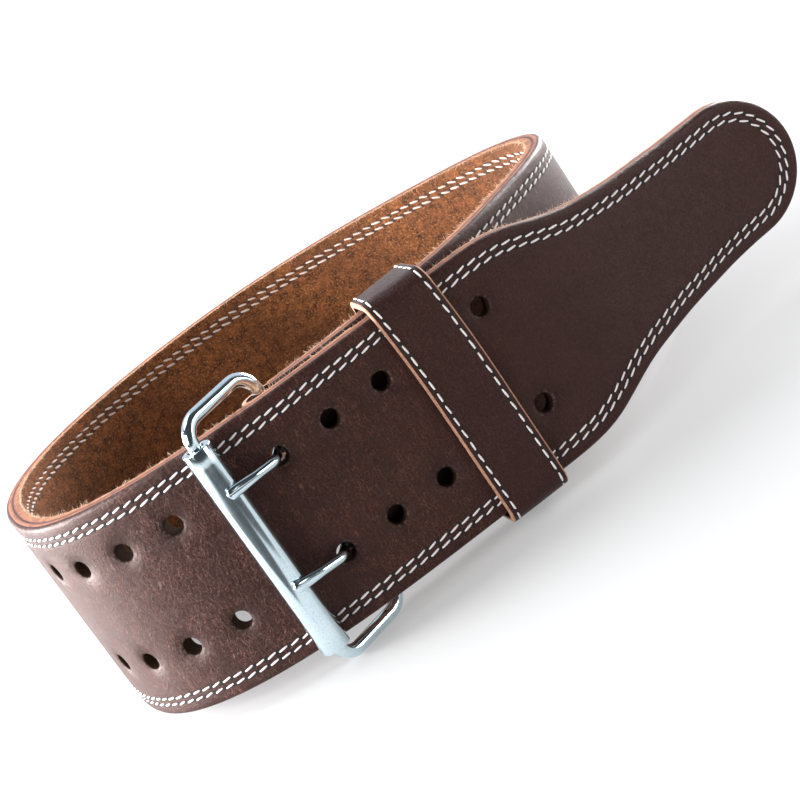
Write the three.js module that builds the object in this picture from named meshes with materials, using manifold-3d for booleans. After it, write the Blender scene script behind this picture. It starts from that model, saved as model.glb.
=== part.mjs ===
// A weightlifting belt: a two-layer leather strap closed by a roller buckle with two prongs.
// Millimetres, +Z up. The belt stands on its lower edge, its buckle to the front (-Y).
// The strap is laid out along its plan route: s = 0 at the fastened holes, s > 0 towards the tongue.
import * as THREE from 'three';
import { mergeVertices } from 'three/addons/utils/BufferGeometryUtils.js';
import Module from 'manifold-3d';

// Strap
const STRAP_WIDTH = 100;
const GRAIN_PLY = 4.3;
const LINING_PLY = 3.6;
const EDGE_ROUND = 1.8;
const CLEARANCE = 0.3;

// Plan of the worn loop, measured from the fastened holes
const LOOP_WIDTH = 291;
const LOOP_DEPTH = 230;
const TAIL_LENGTH = 268.5;
const TONGUE_RADIUS = 30.5;

// Punched holes
const HOLE_DIAMETER = 8;
const HOLE_PITCH = 25.4;
const HOLE_ROW_GAP = 48.6;
const HOLE_RAISE = 2.6;
const PAIRS_TOWARDS_TONGUE = 4;
const PAIRS_TOWARDS_LOOP = 5;

// Buckle
const WIRE = 6;
const FRAME_OVERHANG = 8.5;
const FRAME_RAISE = 1.5;
const FRAME_CORNER = 9;
const ROLLER_DIAMETER = 13;
const ROLLER_BORE = 7.6;
const ROLLER_LENGTH = 100;
const ROLLER_SEAM = 0.8;
const ROLLER_REACH = 24.4;
const PRONG_WIRE = 4.4;
const PRONG_FLAT = 2.3;
const PRONG_SPREAD = 5.6;
const PRONG_TIP_SPREAD = 5;
const PRONG_TIP_FLARE = 2.8;
const PRONG_BEND = 5;
const PRONG_OVERRUN = 4;
const PRONG_KNEE = 3.5;
const PRONG_RAKE = 17;
const PRONG_SKEW_UPPER = 2;
const PRONG_SKEW_LOWER = 4;
const PRONG_GAP_ANGLE = 75;

// Leather fold that holds the heel bar
const CHAPE_PLY = 2.4;
const CHAPE_LEG = 40;
const CHAPE_INSET = 1;
const CHAPE_LEAD = 0.5;
const CHAPE_SLOT = 15;

// Keeper
const KEEPER_WIDTH = 29;
const KEEPER_PLY = 2.5;
const KEEPER_CENTRE = 78;
const KEEPER_SLACK = 3.4;
const KEEPER_INNER_CORNER = 2.5;
const KEEPER_LEAN = 2;
const KEEPER_SKEW = 5;

// Fineness of the faceted solids
const STRAP_STEP = 7.5;
const ROUTE_STEPS = 24;
const HOLE_SIDES = 20;
const ROUND_SIDES = 12;

const STRAP_THICKNESS = GRAIN_PLY + CLEARANCE + LINING_PLY;
const HALF_WIDTH = STRAP_WIDTH / 2;

// Control points of the plan route, from the tongue to the heel bar.
// Tail rows are shares of TAIL_LENGTH, loop rows are shares of LOOP_WIDTH and LOOP_DEPTH.
const TAIL_ROUTE = [
  { across: 1.195, deep: 0.199 },
  { across: 0.99, deep: 0.211 },
  { across: 0.796, deep: 0.165 },
  { across: 0.614, deep: 0.087 },
  { across: 0.435, deep: 0.033 },
  { across: 0.233, deep: 0.015 },
  { across: 0.049, deep: -0.003 },
];
const LOOP_ROUTE = [
  { across: -0.101, deep: 0.002 },
  { across: -0.244, deep: 0.057 },
  { across: -0.347, deep: 0.182 },
  { across: -0.379, deep: 0.404 },
  { across: -0.376, deep: 0.631 },
  { across: -0.283, deep: 0.834 },
  { across: -0.114, deep: 0.965 },
  { across: 0.079, deep: 1.014 },
  { across: 0.259, deep: 0.97 },
  { across: 0.433, deep: 0.846 },
  { across: 0.581, deep: 0.705 },
  { across: 0.638, deep: 0.548 },
  { across: 0.605, deep: 0.39 },
  { across: 0.481, deep: 0.246 },
  { across: 0.371, deep: 0.133 },
];

// Outline of the tail: along is a share of TAIL_LENGTH, and spread is a share of the strap's half width
// beyond the tongue's radius.
const TAPER = [
  { along: 0.296, spread: 1 },
  { along: 0.352, spread: 1 },
  { along: 0.407, spread: 1 },
  { along: 0.463, spread: 0.93 },
  { along: 0.519, spread: 0.64 },
  { along: 0.574, spread: 0.36 },
  { along: 0.63, spread: 0.24 },
  { along: 0.685, spread: 0.13 },
  { along: 0.741, spread: 0.08 },
  { along: 0.796, spread: 0.02 },
  { along: 0.852, spread: 0 },
  { along: 0.907, spread: 0 },
  { along: 0.963, spread: 0 },
];

// Prong section along its length: thickness across the leather's plane, width along the bar
const PRONG_SECTIONS = [
  { share: 0, thick: PRONG_FLAT, wide: PRONG_SPREAD },
  { share: 0.42, thick: PRONG_FLAT, wide: PRONG_SPREAD },
  { share: 0.54, thick: PRONG_WIRE, wide: PRONG_WIRE },
  { share: 0.78, thick: PRONG_WIRE, wide: PRONG_WIRE },
  { share: 0.9, thick: PRONG_TIP_FLARE, wide: PRONG_TIP_SPREAD },
  { share: 1, thick: PRONG_FLAT, wide: PRONG_TIP_SPREAD },
];

const LEATHER = { color: 0x4a2a22, roughness: 0.55, metalness: 0 };
const SUEDE = { color: 0x8a5a33, roughness: 0.95, metalness: 0 };
const STEEL = { color: 0xb9c2c8, roughness: 0.28, metalness: 1 };

const wasm = await Module();
wasm.setup();

const point = (x, y) => new THREE.Vector2(x, y);
const radians = THREE.MathUtils.degToRad;

// Uniform cubic B-spline through the span of its control points
function spline(controls) {
  const points = [];
  for (let i = 0; i + 3 < controls.length; i++) {
    const [a, b, c, d] = controls.slice(i, i + 4);
    const last = i + 4 === controls.length ? ROUTE_STEPS : ROUTE_STEPS - 1;
    for (let j = 0; j <= last; j++) {
      const t = j / ROUTE_STEPS;
      const sum = point(0, 0);
      sum.addScaledVector(a, (1 - t) ** 3 / 6);
      sum.addScaledVector(b, (3 * t ** 3 - 6 * t ** 2 + 4) / 6);
      sum.addScaledVector(c, (-3 * t ** 3 + 3 * t ** 2 + 3 * t + 1) / 6);
      sum.addScaledVector(d, t ** 3 / 6);
      points.push(sum);
    }
  }
  return points;
}

// Route along plan points, with s = 0 where it first crosses x = 0
function makeRoute(points) {
  const travelled = [0];
  for (let i = 1; i < points.length; i++) {
    travelled.push(travelled[i - 1] + points[i].distanceTo(points[i - 1]));
  }
  const cross = points.findIndex((p) => p.x <= 0);
  const part = points[cross - 1].x / (points[cross - 1].x - points[cross].x);
  const zero = travelled[cross - 1] + part * (travelled[cross] - travelled[cross - 1]);
  const at = (s) => {
    const distance = zero - s;
    let i = travelled.findIndex((d) => d >= distance);
    if (i < 0) i = points.length - 1;
    i = Math.max(i, 1);
    const t = (distance - travelled[i - 1]) / (travelled[i] - travelled[i - 1]);
    const place = points[i - 1].clone().lerp(points[i], t);
    const before = points[Math.max(i - 2, 0)];
    const after = points[Math.min(i + 1, points.length - 1)];
    const along = before.clone().sub(after).normalize();
    return { place, along, out: point(along.y, -along.x) };
  };
  return { at, end: zero - travelled[travelled.length - 1] };
}

// Plan route of the grain face. The body end lies straight under the tail, as deep as what is between them.
const BODY_SLACK = 0.4;
const BODY_LIE = STRAP_THICKNESS + CHAPE_PLY + 2 * CLEARANCE + BODY_SLACK;
const tailAndLoop = [
  ...TAIL_ROUTE.map((row) => point(row.across * TAIL_LENGTH, row.deep * TAIL_LENGTH)),
  ...LOOP_ROUTE.map((row) => point(row.across * LOOP_WIDTH, row.deep * LOOP_DEPTH)),
];
const tailRoute = makeRoute(spline(tailAndLoop));
const fastening = tailRoute.at(0);
const fromFastening = (u, depth) =>
  fastening.place.clone().addScaledVector(fastening.along, u).addScaledVector(fastening.out, -depth);

// Heel bar: each prong leaves it raked, and passes the middle of its fastened hole
const RAKE = radians(PRONG_RAKE);
const PRONG_LOOP = WIRE / 2 + CLEARANCE + PRONG_FLAT / 2;
const HEEL_DEPTH = BODY_LIE + STRAP_THICKNESS / 2;
const PRONG_RISE = BODY_LIE + PRONG_LOOP * Math.sin(RAKE);
const HEEL_U = PRONG_LOOP * Math.cos(RAKE) + PRONG_RISE * Math.tan(RAKE);
const FOLD_RADIUS = STRAP_THICKNESS / 2 + CLEARANCE;
const FOLD_U = FOLD_RADIUS + CHAPE_PLY - CHAPE_LEAD;
const BODY_END_U = HEEL_U + PRONG_LOOP + PRONG_FLAT / 2 + 2 * CLEARANCE;
const BODY_LEAD = 26;
const bodyEnd = [1, 0, -1].map((i) => {
  const station = tailRoute.at(BODY_END_U + i * BODY_LEAD);
  return station.place.clone().addScaledVector(station.out, -BODY_LIE);
});
const route = makeRoute(spline([...tailAndLoop, ...bodyEnd]));
const BODY_END = route.end;

const heel = fromFastening(HEEL_U, HEEL_DEPTH);
const rollerStation = route.at(-ROLLER_REACH);
const ROLLER_LIFT = CLEARANCE + ROLLER_DIAMETER / 2;
const roller = rollerStation.place.clone().addScaledVector(rollerStation.out, ROLLER_LIFT);
const FRAME_HALF = HALF_WIDTH + FRAME_OVERHANG;

// Half width of the tail at s
const TAPER_FALL = HALF_WIDTH - TONGUE_RADIUS;
const taperPoints = spline(
  TAPER.map((row) => point(row.along * TAIL_LENGTH, TONGUE_RADIUS + row.spread * TAPER_FALL)),
);
function halfWidth(s) {
  const past = s - (TAIL_LENGTH - TONGUE_RADIUS);
  if (past > 0) return Math.sqrt(Math.max(TONGUE_RADIUS ** 2 - past ** 2, 0));
  const i = taperPoints.findIndex((p) => p.x >= s);
  if (i <= 0) return i === 0 ? HALF_WIDTH : TONGUE_RADIUS;
  const t = (s - taperPoints[i - 1].x) / (taperPoints[i].x - taperPoints[i - 1].x);
  return THREE.MathUtils.lerp(taperPoints[i - 1].y, taperPoints[i].y, t);
}

// Closed solid lofted through rings of equal count; caps close an open loft
function loft(rings, closed = false) {
  const count = rings[0].length;
  const faces = [];
  const quad = (a, b, c, d) => faces.push(a, b, c, a, c, d);
  const spans = closed ? rings.length : rings.length - 1;
  for (let i = 0; i < spans; i++) {
    const here = i * count;
    const next = ((i + 1) % rings.length) * count;
    for (let j = 0; j < count; j++) {
      const k = (j + 1) % count;
      quad(here + j, here + k, next + k, next + j);
    }
  }
  if (!closed) {
    const last = (rings.length - 1) * count;
    for (let j = 1; j + 1 < count; j++) {
      faces.push(0, j + 1, j);
      faces.push(last, last + j, last + j + 1);
    }
  }
  return toManifold(rings.flat(), faces);
}

function toManifold(vertices, faces) {
  let volume = 0;
  for (let i = 0; i < faces.length; i += 3) {
    const [a, b, c] = [0, 1, 2].map((j) => vertices[faces[i + j]]);
    volume += a.dot(b.clone().cross(c)) / 6;
  }
  const turned = volume < 0 ? faces.slice().reverse() : faces;
  return new wasm.Manifold(
    new wasm.Mesh({
      numProp: 3,
      vertProperties: new Float32Array(vertices.flatMap((v) => [v.x, v.y, v.z])),
      triVerts: new Uint32Array(turned),
    }),
  );
}

function toMesh(name, solid, finish) {
  const { vertProperties, triVerts } = solid.getMesh();
  const geometry = new THREE.BufferGeometry();
  geometry.setAttribute('position', new THREE.BufferAttribute(new Float32Array(vertProperties), 3));
  geometry.setIndex(Array.from(triVerts));
  geometry.computeVertexNormals();
  const mesh = new THREE.Mesh(geometry, new THREE.MeshStandardMaterial(finish));
  mesh.name = name;
  return mesh;
}

// Point of the strap: offset out from the grain face, height z
function strapPoint(station, offset, z) {
  const flat = station.place.clone().addScaledVector(station.out, offset);
  return new THREE.Vector3(flat.x, flat.y, z);
}

// Stations of the strap from the tongue to the body end, closer round the tongue's tip
function strapStations() {
  const list = [];
  const tipAngles = [6, 14, 22, 31, 40, 50, 60, 70, 80];
  const tongue = TAIL_LENGTH - TONGUE_RADIUS;
  for (const angle of tipAngles) list.push(tongue + TONGUE_RADIUS * Math.cos(radians(angle)));
  const steps = Math.ceil((tongue - BODY_END) / STRAP_STEP);
  for (let i = 0; i <= steps; i++) list.push(THREE.MathUtils.lerp(tongue, BODY_END, i / steps));
  return list;
}

function grainSection(half) {
  const round = Math.min(EDGE_ROUND, half / 2);
  const cut = round * (1 - Math.SQRT1_2);
  const inner = -GRAIN_PLY;
  return [
    [inner, -half], [-round, -half], [-cut, cut - half], [0, round - half],
    [0, half - round], [-cut, half - cut], [-round, half], [inner, half],
  ];
}

function liningSection(half) {
  const front = -GRAIN_PLY - CLEARANCE;
  return [[-STRAP_THICKNESS, -half], [front, -half], [front, half], [-STRAP_THICKNESS, half]];
}

function strapLayer(section) {
  const rings = strapStations().map((s) => {
    const station = route.at(s);
    return section(halfWidth(s)).map(([offset, z]) => strapPoint(station, offset, z));
  });
  return holeCutters().reduce((solid, cutter) => solid.subtract(cutter), loft(rings));
}

const holeHeights = () => [HOLE_RAISE - HOLE_ROW_GAP / 2, HOLE_RAISE + HOLE_ROW_GAP / 2];

function holeCutters() {
  const cutters = [];
  for (let pair = -PAIRS_TOWARDS_LOOP; pair <= PAIRS_TOWARDS_TONGUE; pair++) {
    const station = route.at(pair * HOLE_PITCH);
    for (const z of holeHeights()) cutters.push(holeCutter(station, z));
  }
  return cutters;
}

function holeCutter(station, z) {
  const ring = (offset) =>
    Array.from({ length: HOLE_SIDES }, (_, i) => {
      const angle = (2 * Math.PI * (i + 0.5)) / HOLE_SIDES;
      const centre = strapPoint(station, offset, z + (HOLE_DIAMETER / 2) * Math.sin(angle));
      const shift = station.along.clone().multiplyScalar((HOLE_DIAMETER / 2) * Math.cos(angle));
      return centre.add(new THREE.Vector3(shift.x, shift.y, 0));
    });
  return loft([ring(2 * CLEARANCE), ring(-STRAP_THICKNESS - 2 * CLEARANCE)]);
}

// Fold of leather round the heel bar, a leg on each face of the strap's body end
function chape() {
  const legSteps = 6;
  const foldSteps = 8;
  const half = HALF_WIDTH - CHAPE_INSET;
  const legs = Array.from({ length: legSteps + 1 }, (_, i) => {
    return route.at(BODY_END + CHAPE_LEG * (1 - i / legSteps));
  });
  const ring = (inner, outer) => [
    new THREE.Vector3(inner.x, inner.y, -half), new THREE.Vector3(outer.x, outer.y, -half),
    new THREE.Vector3(outer.x, outer.y, half), new THREE.Vector3(inner.x, inner.y, half),
  ];
  const offsetFrom = (station, offset) => station.place.clone().addScaledVector(station.out, offset);
  const over = CLEARANCE + CHAPE_PLY;
  const front = legs.map((leg) => ring(offsetFrom(leg, CLEARANCE), offsetFrom(leg, over)));
  const under = -STRAP_THICKNESS - CLEARANCE;
  const below = under - CHAPE_PLY;
  const back = legs.map((leg) => ring(offsetFrom(leg, under), offsetFrom(leg, below))).reverse();
  const bend = Array.from({ length: foldSteps + 1 }, (_, i) => {
    const angle = Math.PI * (i / foldSteps);
    const onArc = (r) => fromFastening(FOLD_U - r * Math.sin(angle), HEEL_DEPTH - r * Math.cos(angle));
    return ring(onArc(FOLD_RADIUS), onArc(FOLD_RADIUS + CHAPE_PLY));
  });
  const slots = holeHeights().map((z) => chapeSlot(z));
  return slots.reduce((solid, slot) => solid.subtract(slot), loft([...front, ...bend, ...back]));
}

// Slot that lets a prong's loop turn round the heel bar
function chapeSlot(z) {
  const half = PRONG_SPREAD / 2 + 2 * CLEARANCE;
  const reach = FOLD_RADIUS + 2 * CHAPE_PLY;
  const corner = (u, depth) => fromFastening(u, HEEL_DEPTH + depth);
  const [a, b, c, d] = [
    corner(FOLD_U - reach, -reach), corner(HEEL_U + CHAPE_SLOT / 2, -reach),
    corner(HEEL_U + CHAPE_SLOT / 2, reach), corner(FOLD_U - reach, reach),
  ];
  const level = (height) => [a, b, c, d].map((p) => new THREE.Vector3(p.x, p.y, height));
  return loft([level(z - half), level(z + half)]);
}

// Wire of elliptic section, swept along points with their side and up directions
function wire(path, radiusAt, closed = false) {
  const rings = path.map(({ centre, side, up }, i) => {
    const [rSide, rUp] = radiusAt(i);
    return Array.from({ length: ROUND_SIDES }, (_, j) => {
      const angle = (2 * Math.PI * j) / ROUND_SIDES;
      const sideways = centre.clone().addScaledVector(side, rSide * Math.cos(angle));
      return sideways.addScaledVector(up, rUp * Math.sin(angle));
    });
  });
  return loft(rings, closed);
}

// Rounded rectangle of wire through the roller's axis and the heel bar's
function buckleFrame() {
  const across = heel.clone().sub(roller);
  const half = across.length() / 2;
  const middle = roller.clone().add(heel).multiplyScalar(0.5);
  const direction = across.normalize();
  const normal = new THREE.Vector3(direction.y, -direction.x, 0);
  const cornerSteps = 6;
  const path = [];
  const corners = [[1, 1, 0], [-1, 1, 90], [-1, -1, 180], [1, -1, 270]];
  for (const [sideways, upright, turn] of corners) {
    for (let i = 0; i <= cornerSteps; i++) {
      const angle = radians(turn + (90 * i) / cornerSteps);
      const w = sideways * (half - FRAME_CORNER) + FRAME_CORNER * Math.cos(angle);
      const z = upright * (FRAME_HALF - FRAME_CORNER) + FRAME_CORNER * Math.sin(angle);
      const flat = middle.clone().addScaledVector(direction, w);
      const outward = direction.clone().multiplyScalar(Math.cos(angle));
      const side = new THREE.Vector3(outward.x, outward.y, Math.sin(angle));
      path.push({ centre: new THREE.Vector3(flat.x, flat.y, z + FRAME_RAISE), side, up: normal });
    }
  }
  return wire(path, () => [WIRE / 2, WIRE / 2], true);
}

// Rolled tube on the front bar, its open seam turned to the leather
function rollerTube() {
  const steps = 30;
  const seam = ROLLER_SEAM / ROLLER_DIAMETER;
  const inward = Math.atan2(-rollerStation.out.y, -rollerStation.out.x);
  const arc = (radius, reversed) =>
    Array.from({ length: steps + 1 }, (_, i) => {
      const share = reversed ? 1 - i / steps : i / steps;
      const angle = inward + seam + share * (2 * Math.PI - 2 * seam);
      return point(roller.x + radius * Math.cos(angle), roller.y + radius * Math.sin(angle));
    });
  const shape = new THREE.Shape([...arc(ROLLER_DIAMETER / 2, false), ...arc(ROLLER_BORE / 2, true)]);
  const geometry = new THREE.ExtrudeGeometry(shape, { depth: ROLLER_LENGTH, bevelEnabled: false });
  geometry.translate(0, 0, -ROLLER_LENGTH / 2);
  geometry.deleteAttribute('normal');
  geometry.deleteAttribute('uv');
  const merged = mergeVertices(geometry, 1e-4);
  const position = merged.getAttribute('position');
  const vertices = Array.from({ length: position.count }, (_, i) => {
    return new THREE.Vector3().fromBufferAttribute(position, i);
  });
  return toManifold(vertices, Array.from(merged.getIndex().array));
}

// Prong route in the plane across the bars: round the heel bar, up through the hole, over the roller
function prongRoute() {
  const local = (p) => {
    const from = p.clone().sub(fastening.place);
    return point(from.dot(fastening.along), from.dot(fastening.out));
  };
  const bar = local(heel);
  const crown = local(roller);
  const reach = ROLLER_DIAMETER / 2 + CLEARANCE + PRONG_FLAT / 2;
  const points = [];
  const loopSteps = 14;
  for (let i = 0; i <= loopSteps; i++) {
    const angle = THREE.MathUtils.lerp(radians(PRONG_GAP_ANGLE), RAKE - Math.PI, i / loopSteps);
    points.push(point(bar.x + PRONG_LOOP * Math.cos(angle), bar.y + PRONG_LOOP * Math.sin(angle)));
  }
  const leg = point(-Math.sin(RAKE), Math.cos(RAKE));
  const foot = points[loopSteps];
  const knee = foot.clone().addScaledVector(leg, (PRONG_KNEE - foot.y) / leg.y);
  const toCrown = crown.clone().sub(knee);
  const slope = toCrown.angle() - Math.asin(reach / toCrown.length());
  const run = Math.sqrt(toCrown.lengthSq() - reach ** 2) + PRONG_OVERRUN;
  const heading = point(Math.cos(slope), Math.sin(slope));
  const rise = leg.angle();
  const setback = PRONG_BEND * Math.tan((slope - rise) / 2);
  const bend = knee.clone().addScaledVector(leg, -setback);
  points.push(foot.clone().lerp(bend, 0.5));
  const bendSteps = 6;
  for (let i = 0; i <= bendSteps; i++) {
    const angle = THREE.MathUtils.lerp(rise, slope, i / bendSteps);
    const across = Math.sin(angle) - Math.sin(rise);
    const up = Math.cos(rise) - Math.cos(angle);
    points.push(point(bend.x + PRONG_BEND * across, bend.y + PRONG_BEND * up));
  }
  const runSteps = 5;
  for (let i = 1; i <= runSteps; i++) {
    const distance = THREE.MathUtils.lerp(setback, run, i / runSteps);
    points.push(knee.clone().addScaledVector(heading, distance));
  }
  return points;
}

function prongSize(share) {
  const next = Math.max(PRONG_SECTIONS.findIndex((row) => row.share >= share), 1);
  const [a, b] = [PRONG_SECTIONS[next - 1], PRONG_SECTIONS[next]];
  const t = (share - a.share) / (b.share - a.share);
  const between = (key) => THREE.MathUtils.lerp(a[key], b[key], t);
  return { thick: between('thick'), wide: between('wide') };
}

// Prong at height z, its tip turned up by the skew
function prong(z, skew) {
  const points = prongRoute();
  const tip = points[points.length - 1];
  const travelled = [0];
  for (let i = 1; i < points.length; i++) {
    travelled.push(travelled[i - 1] + points[i].distanceTo(points[i - 1]));
  }
  const total = travelled[travelled.length - 1];
  const lift = (p) => {
    const flat = fromFastening(p.x, -p.y);
    return new THREE.Vector3(flat.x, flat.y, z + skew * Math.max(p.x / tip.x, 0));
  };
  const path = points.map((p, i) => {
    const before = points[Math.max(i - 1, 0)];
    const after = points[Math.min(i + 1, points.length - 1)];
    const heading = lift(after).sub(lift(before)).normalize();
    const up = new THREE.Vector3(0, 0, 1);
    return { centre: lift(p), side: heading.clone().cross(up), up };
  });
  return wire(path, (i) => {
    const { thick, wide } = prongSize(travelled[i] / total);
    return [thick / 2, wide / 2];
  });
}

// Station of the body strap straight behind a place on the tail
function bodyBehind(place) {
  let best = BODY_END;
  const miss = (s) => route.at(s).place.distanceTo(place);
  for (let s = BODY_END; s < BODY_END + 2 * CHAPE_LEG + KEEPER_CENTRE; s += 1) {
    if (miss(s) < miss(best)) best = s;
  }
  return best;
}

// Section of the keeper's loop, grown outwards: each point's leg, its end, and its offset from there
function keeperSection(grow) {
  const round = KEEPER_INNER_CORNER + grow;
  const cornerSteps = 4;
  const frontRows = 8;
  const section = [];
  const corner = (back, up, turn) => {
    for (let i = 0; i <= cornerSteps; i++) {
      const angle = radians(turn + (90 * i) / cornerSteps);
      section.push({ back, up, dx: round * Math.cos(angle), dz: round * Math.sin(angle) });
    }
  };
  corner(true, 1, 0);
  corner(false, 1, 90);
  for (let i = 1; i < frontRows; i++) {
    section.push({ back: false, up: 1 - (2 * i) / frontRows, dx: -round, dz: 0 });
  }
  corner(false, -1, 180);
  corner(true, -1, 270);
  return section;
}

// Leather loop round the tail and the body strap. It leans towards the buckle at its top,
// and its back leg sits nearer the tongue by the skew.
function keeper() {
  const bodyCentre = bodyBehind(route.at(KEEPER_CENTRE).place) + KEEPER_SKEW;
  const straight = HALF_WIDTH + KEEPER_SLACK - KEEPER_INNER_CORNER;
  const place = ({ back, up, dx, dz }, share) => {
    const z = up * straight + dz;
    const lean = KEEPER_LEAN * (Math.max(z, 0) / HALF_WIDTH) ** 2;
    const shift = share * KEEPER_WIDTH - lean;
    const front = route.at(KEEPER_CENTRE + shift);
    const body = route.at(bodyCentre + shift);
    const inFront = front.place.clone().addScaledVector(front.out, CLEARANCE);
    const behind = body.place.clone().addScaledVector(body.out, -STRAP_THICKNESS - 2 * CLEARANCE);
    const across = behind.sub(inFront);
    const depth = back ? across.length() - KEEPER_INNER_CORNER : KEEPER_INNER_CORNER;
    const flat = inFront.addScaledVector(across.normalize(), depth + dx);
    return new THREE.Vector3(flat.x, flat.y, z);
  };
  const outer = keeperSection(KEEPER_PLY);
  const rings = keeperSection(0).map((inner, i) => [
    place(inner, -0.5), place(inner, 0), place(inner, 0.5),
    place(outer[i], 0.5), place(outer[i], 0), place(outer[i], -0.5),
  ]);
  return loft(rings, true);
}

// The belt leans back until its rear lower edge and the buckle's lower arm stand on one plane
const STAND_TILT = Math.asin((FRAME_OVERHANG - FRAME_RAISE + WIRE / 2) / (LOOP_DEPTH - HEEL_DEPTH));

const [lowerHole, upperHole] = holeHeights();
const belt = new THREE.Group();
belt.add(toMesh('strap_grain', strapLayer(grainSection), LEATHER));
belt.add(toMesh('strap_suede', strapLayer(liningSection), SUEDE));
belt.add(toMesh('chape', chape(), LEATHER));
belt.add(toMesh('keeper', keeper(), LEATHER));
belt.add(toMesh('buckle_frame', buckleFrame(), STEEL));
belt.add(toMesh('roller', rollerTube(), STEEL));
belt.add(toMesh('prong_upper', prong(upperHole, PRONG_SKEW_UPPER), STEEL));
belt.add(toMesh('prong_lower', prong(lowerHole, PRONG_SKEW_LOWER), STEEL));
belt.rotation.x = -STAND_TILT;

const standing = new THREE.Group();
standing.add(belt);
standing.updateMatrixWorld(true);
const box = new THREE.Box3().setFromObject(standing, true);
const centre = box.getCenter(new THREE.Vector3());
standing.position.set(-centre.x, -centre.y, -box.min.z);
export default standing;
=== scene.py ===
import math

import bmesh
import bpy
import numpy as np
from mathutils import Matrix, Vector


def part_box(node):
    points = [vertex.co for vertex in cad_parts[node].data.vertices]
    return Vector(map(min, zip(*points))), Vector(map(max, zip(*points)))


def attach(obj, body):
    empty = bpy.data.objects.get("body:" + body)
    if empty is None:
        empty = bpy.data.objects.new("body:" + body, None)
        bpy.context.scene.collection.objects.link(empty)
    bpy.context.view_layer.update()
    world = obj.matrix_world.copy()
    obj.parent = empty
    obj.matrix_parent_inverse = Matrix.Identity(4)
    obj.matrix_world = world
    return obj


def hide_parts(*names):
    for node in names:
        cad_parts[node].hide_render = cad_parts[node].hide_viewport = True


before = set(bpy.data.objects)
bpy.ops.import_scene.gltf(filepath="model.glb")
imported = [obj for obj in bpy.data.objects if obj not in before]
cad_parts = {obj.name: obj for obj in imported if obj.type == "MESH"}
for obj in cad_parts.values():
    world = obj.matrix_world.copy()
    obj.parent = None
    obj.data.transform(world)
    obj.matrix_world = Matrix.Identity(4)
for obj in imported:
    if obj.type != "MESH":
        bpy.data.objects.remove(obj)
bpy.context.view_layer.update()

# Sizes in millimetres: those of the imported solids, but for the keeper's corners, which are rounder here
MM = 0.001
HALF_WIDTH = 50.0
GRAIN_PLY = 4.3
LINING_PLY = 3.6
CLEARANCE = 0.3
THICKNESS = GRAIN_PLY + CLEARANCE + LINING_PLY
LOOP_WIDTH = 291.0
LOOP_DEPTH = 230.0
TAIL_LENGTH = 268.5
TONGUE_RADIUS = 30.5
TONGUE_CENTRE = TAIL_LENGTH - TONGUE_RADIUS
HOLE_PITCH = 25.4
HOLE_HEIGHTS = (2.6 + 24.3, 2.6 - 24.3)
PAIRS = range(-5, 5)
WIRE = 6.0
FRAME_OVERHANG = 8.5
FRAME_RAISE = 1.5
FRAME_CORNER = 9.0
ROLLER_DIAMETER = 13.0
ROLLER_BORE = 7.6
ROLLER_LENGTH = 100.0
ROLLER_SEAM = 0.8
ROLLER_REACH = 24.4
PRONG_WIRE = 4.4
PRONG_FLAT = 2.3
PRONG_SPREAD = 5.6
PRONG_TIP_SPREAD = 5.0
PRONG_TIP_FLARE = 2.8
PRONG_BEND = 5.0
PRONG_OVERRUN = 4.0
PRONG_KNEE = 3.5
PRONG_SKEWS = (2.0, 4.0)
PRONG_GAP_ANGLE = 75.0
RAKE = math.radians(17)
CHAPE_PLY = 2.4
CHAPE_LEG = 40.0
CHAPE_INSET = 1.0
CHAPE_LEAD = 0.5
CHAPE_SLOT = 15.0
KEEPER_WIDTH = 29.0
KEEPER_PLY = 2.5
KEEPER_CENTRE = 78.0
KEEPER_SLACK = 3.4
KEEPER_CORNER = 5.0
KEEPER_LEAN = 2.0
KEEPER_SKEW = 5.0
BODY_LEAD = 26.0
BODY_SLACK = 0.4
BODY_LIE = THICKNESS + CHAPE_PLY + 2 * CLEARANCE + BODY_SLACK
HEEL_DEPTH = BODY_LIE + THICKNESS / 2
PRONG_LOOP = WIRE / 2 + CLEARANCE + PRONG_FLAT / 2
HEEL_U = PRONG_LOOP * math.cos(RAKE) + (BODY_LIE + PRONG_LOOP * math.sin(RAKE)) * math.tan(RAKE)
FOLD_RADIUS = THICKNESS / 2 + CLEARANCE
FOLD_U = FOLD_RADIUS + CHAPE_PLY - CHAPE_LEAD
BODY_END_U = HEEL_U + PRONG_LOOP + PRONG_FLAT / 2 + 2 * CLEARANCE
STAND_TILT = math.asin((FRAME_OVERHANG - FRAME_RAISE + WIRE / 2) / (LOOP_DEPTH - HEEL_DEPTH))

# Plan route, from the tongue to the heel bar: (across, deep) shares of the tail, then of the loop
TAIL_ROUTE = [(1.195, 0.199), (0.99, 0.211), (0.796, 0.165), (0.614, 0.087), (0.435, 0.033),
              (0.233, 0.015), (0.049, -0.003)]
LOOP_ROUTE = [(-0.101, 0.002), (-0.244, 0.057), (-0.347, 0.182), (-0.379, 0.404), (-0.376, 0.631),
              (-0.283, 0.834), (-0.114, 0.965), (0.079, 1.014), (0.259, 0.97), (0.433, 0.846),
              (0.581, 0.705), (0.638, 0.548), (0.605, 0.39), (0.481, 0.246), (0.371, 0.133)]
# Tail outline: (share of the tail's length, share of the half width beyond the tongue's radius)
TAPER = [(0.296, 1), (0.352, 1), (0.407, 1), (0.463, 0.93), (0.519, 0.64), (0.574, 0.36), (0.63, 0.24),
         (0.685, 0.13), (0.741, 0.08), (0.796, 0.02), (0.852, 0), (0.907, 0), (0.963, 0)]

# Stitching: insets of the two rows from the strap's edge, and the length of a stitch with its gap
STITCH_INSETS = (5.83, 8.91)
STITCH_PITCH = 5.67
KEEPER_PITCH = 6.1
KEEPER_ROW_INSET = 2.9

# The leather's flat pattern as a UV map, in units of so many millimetres
FLAT_UNIT = 100
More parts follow.
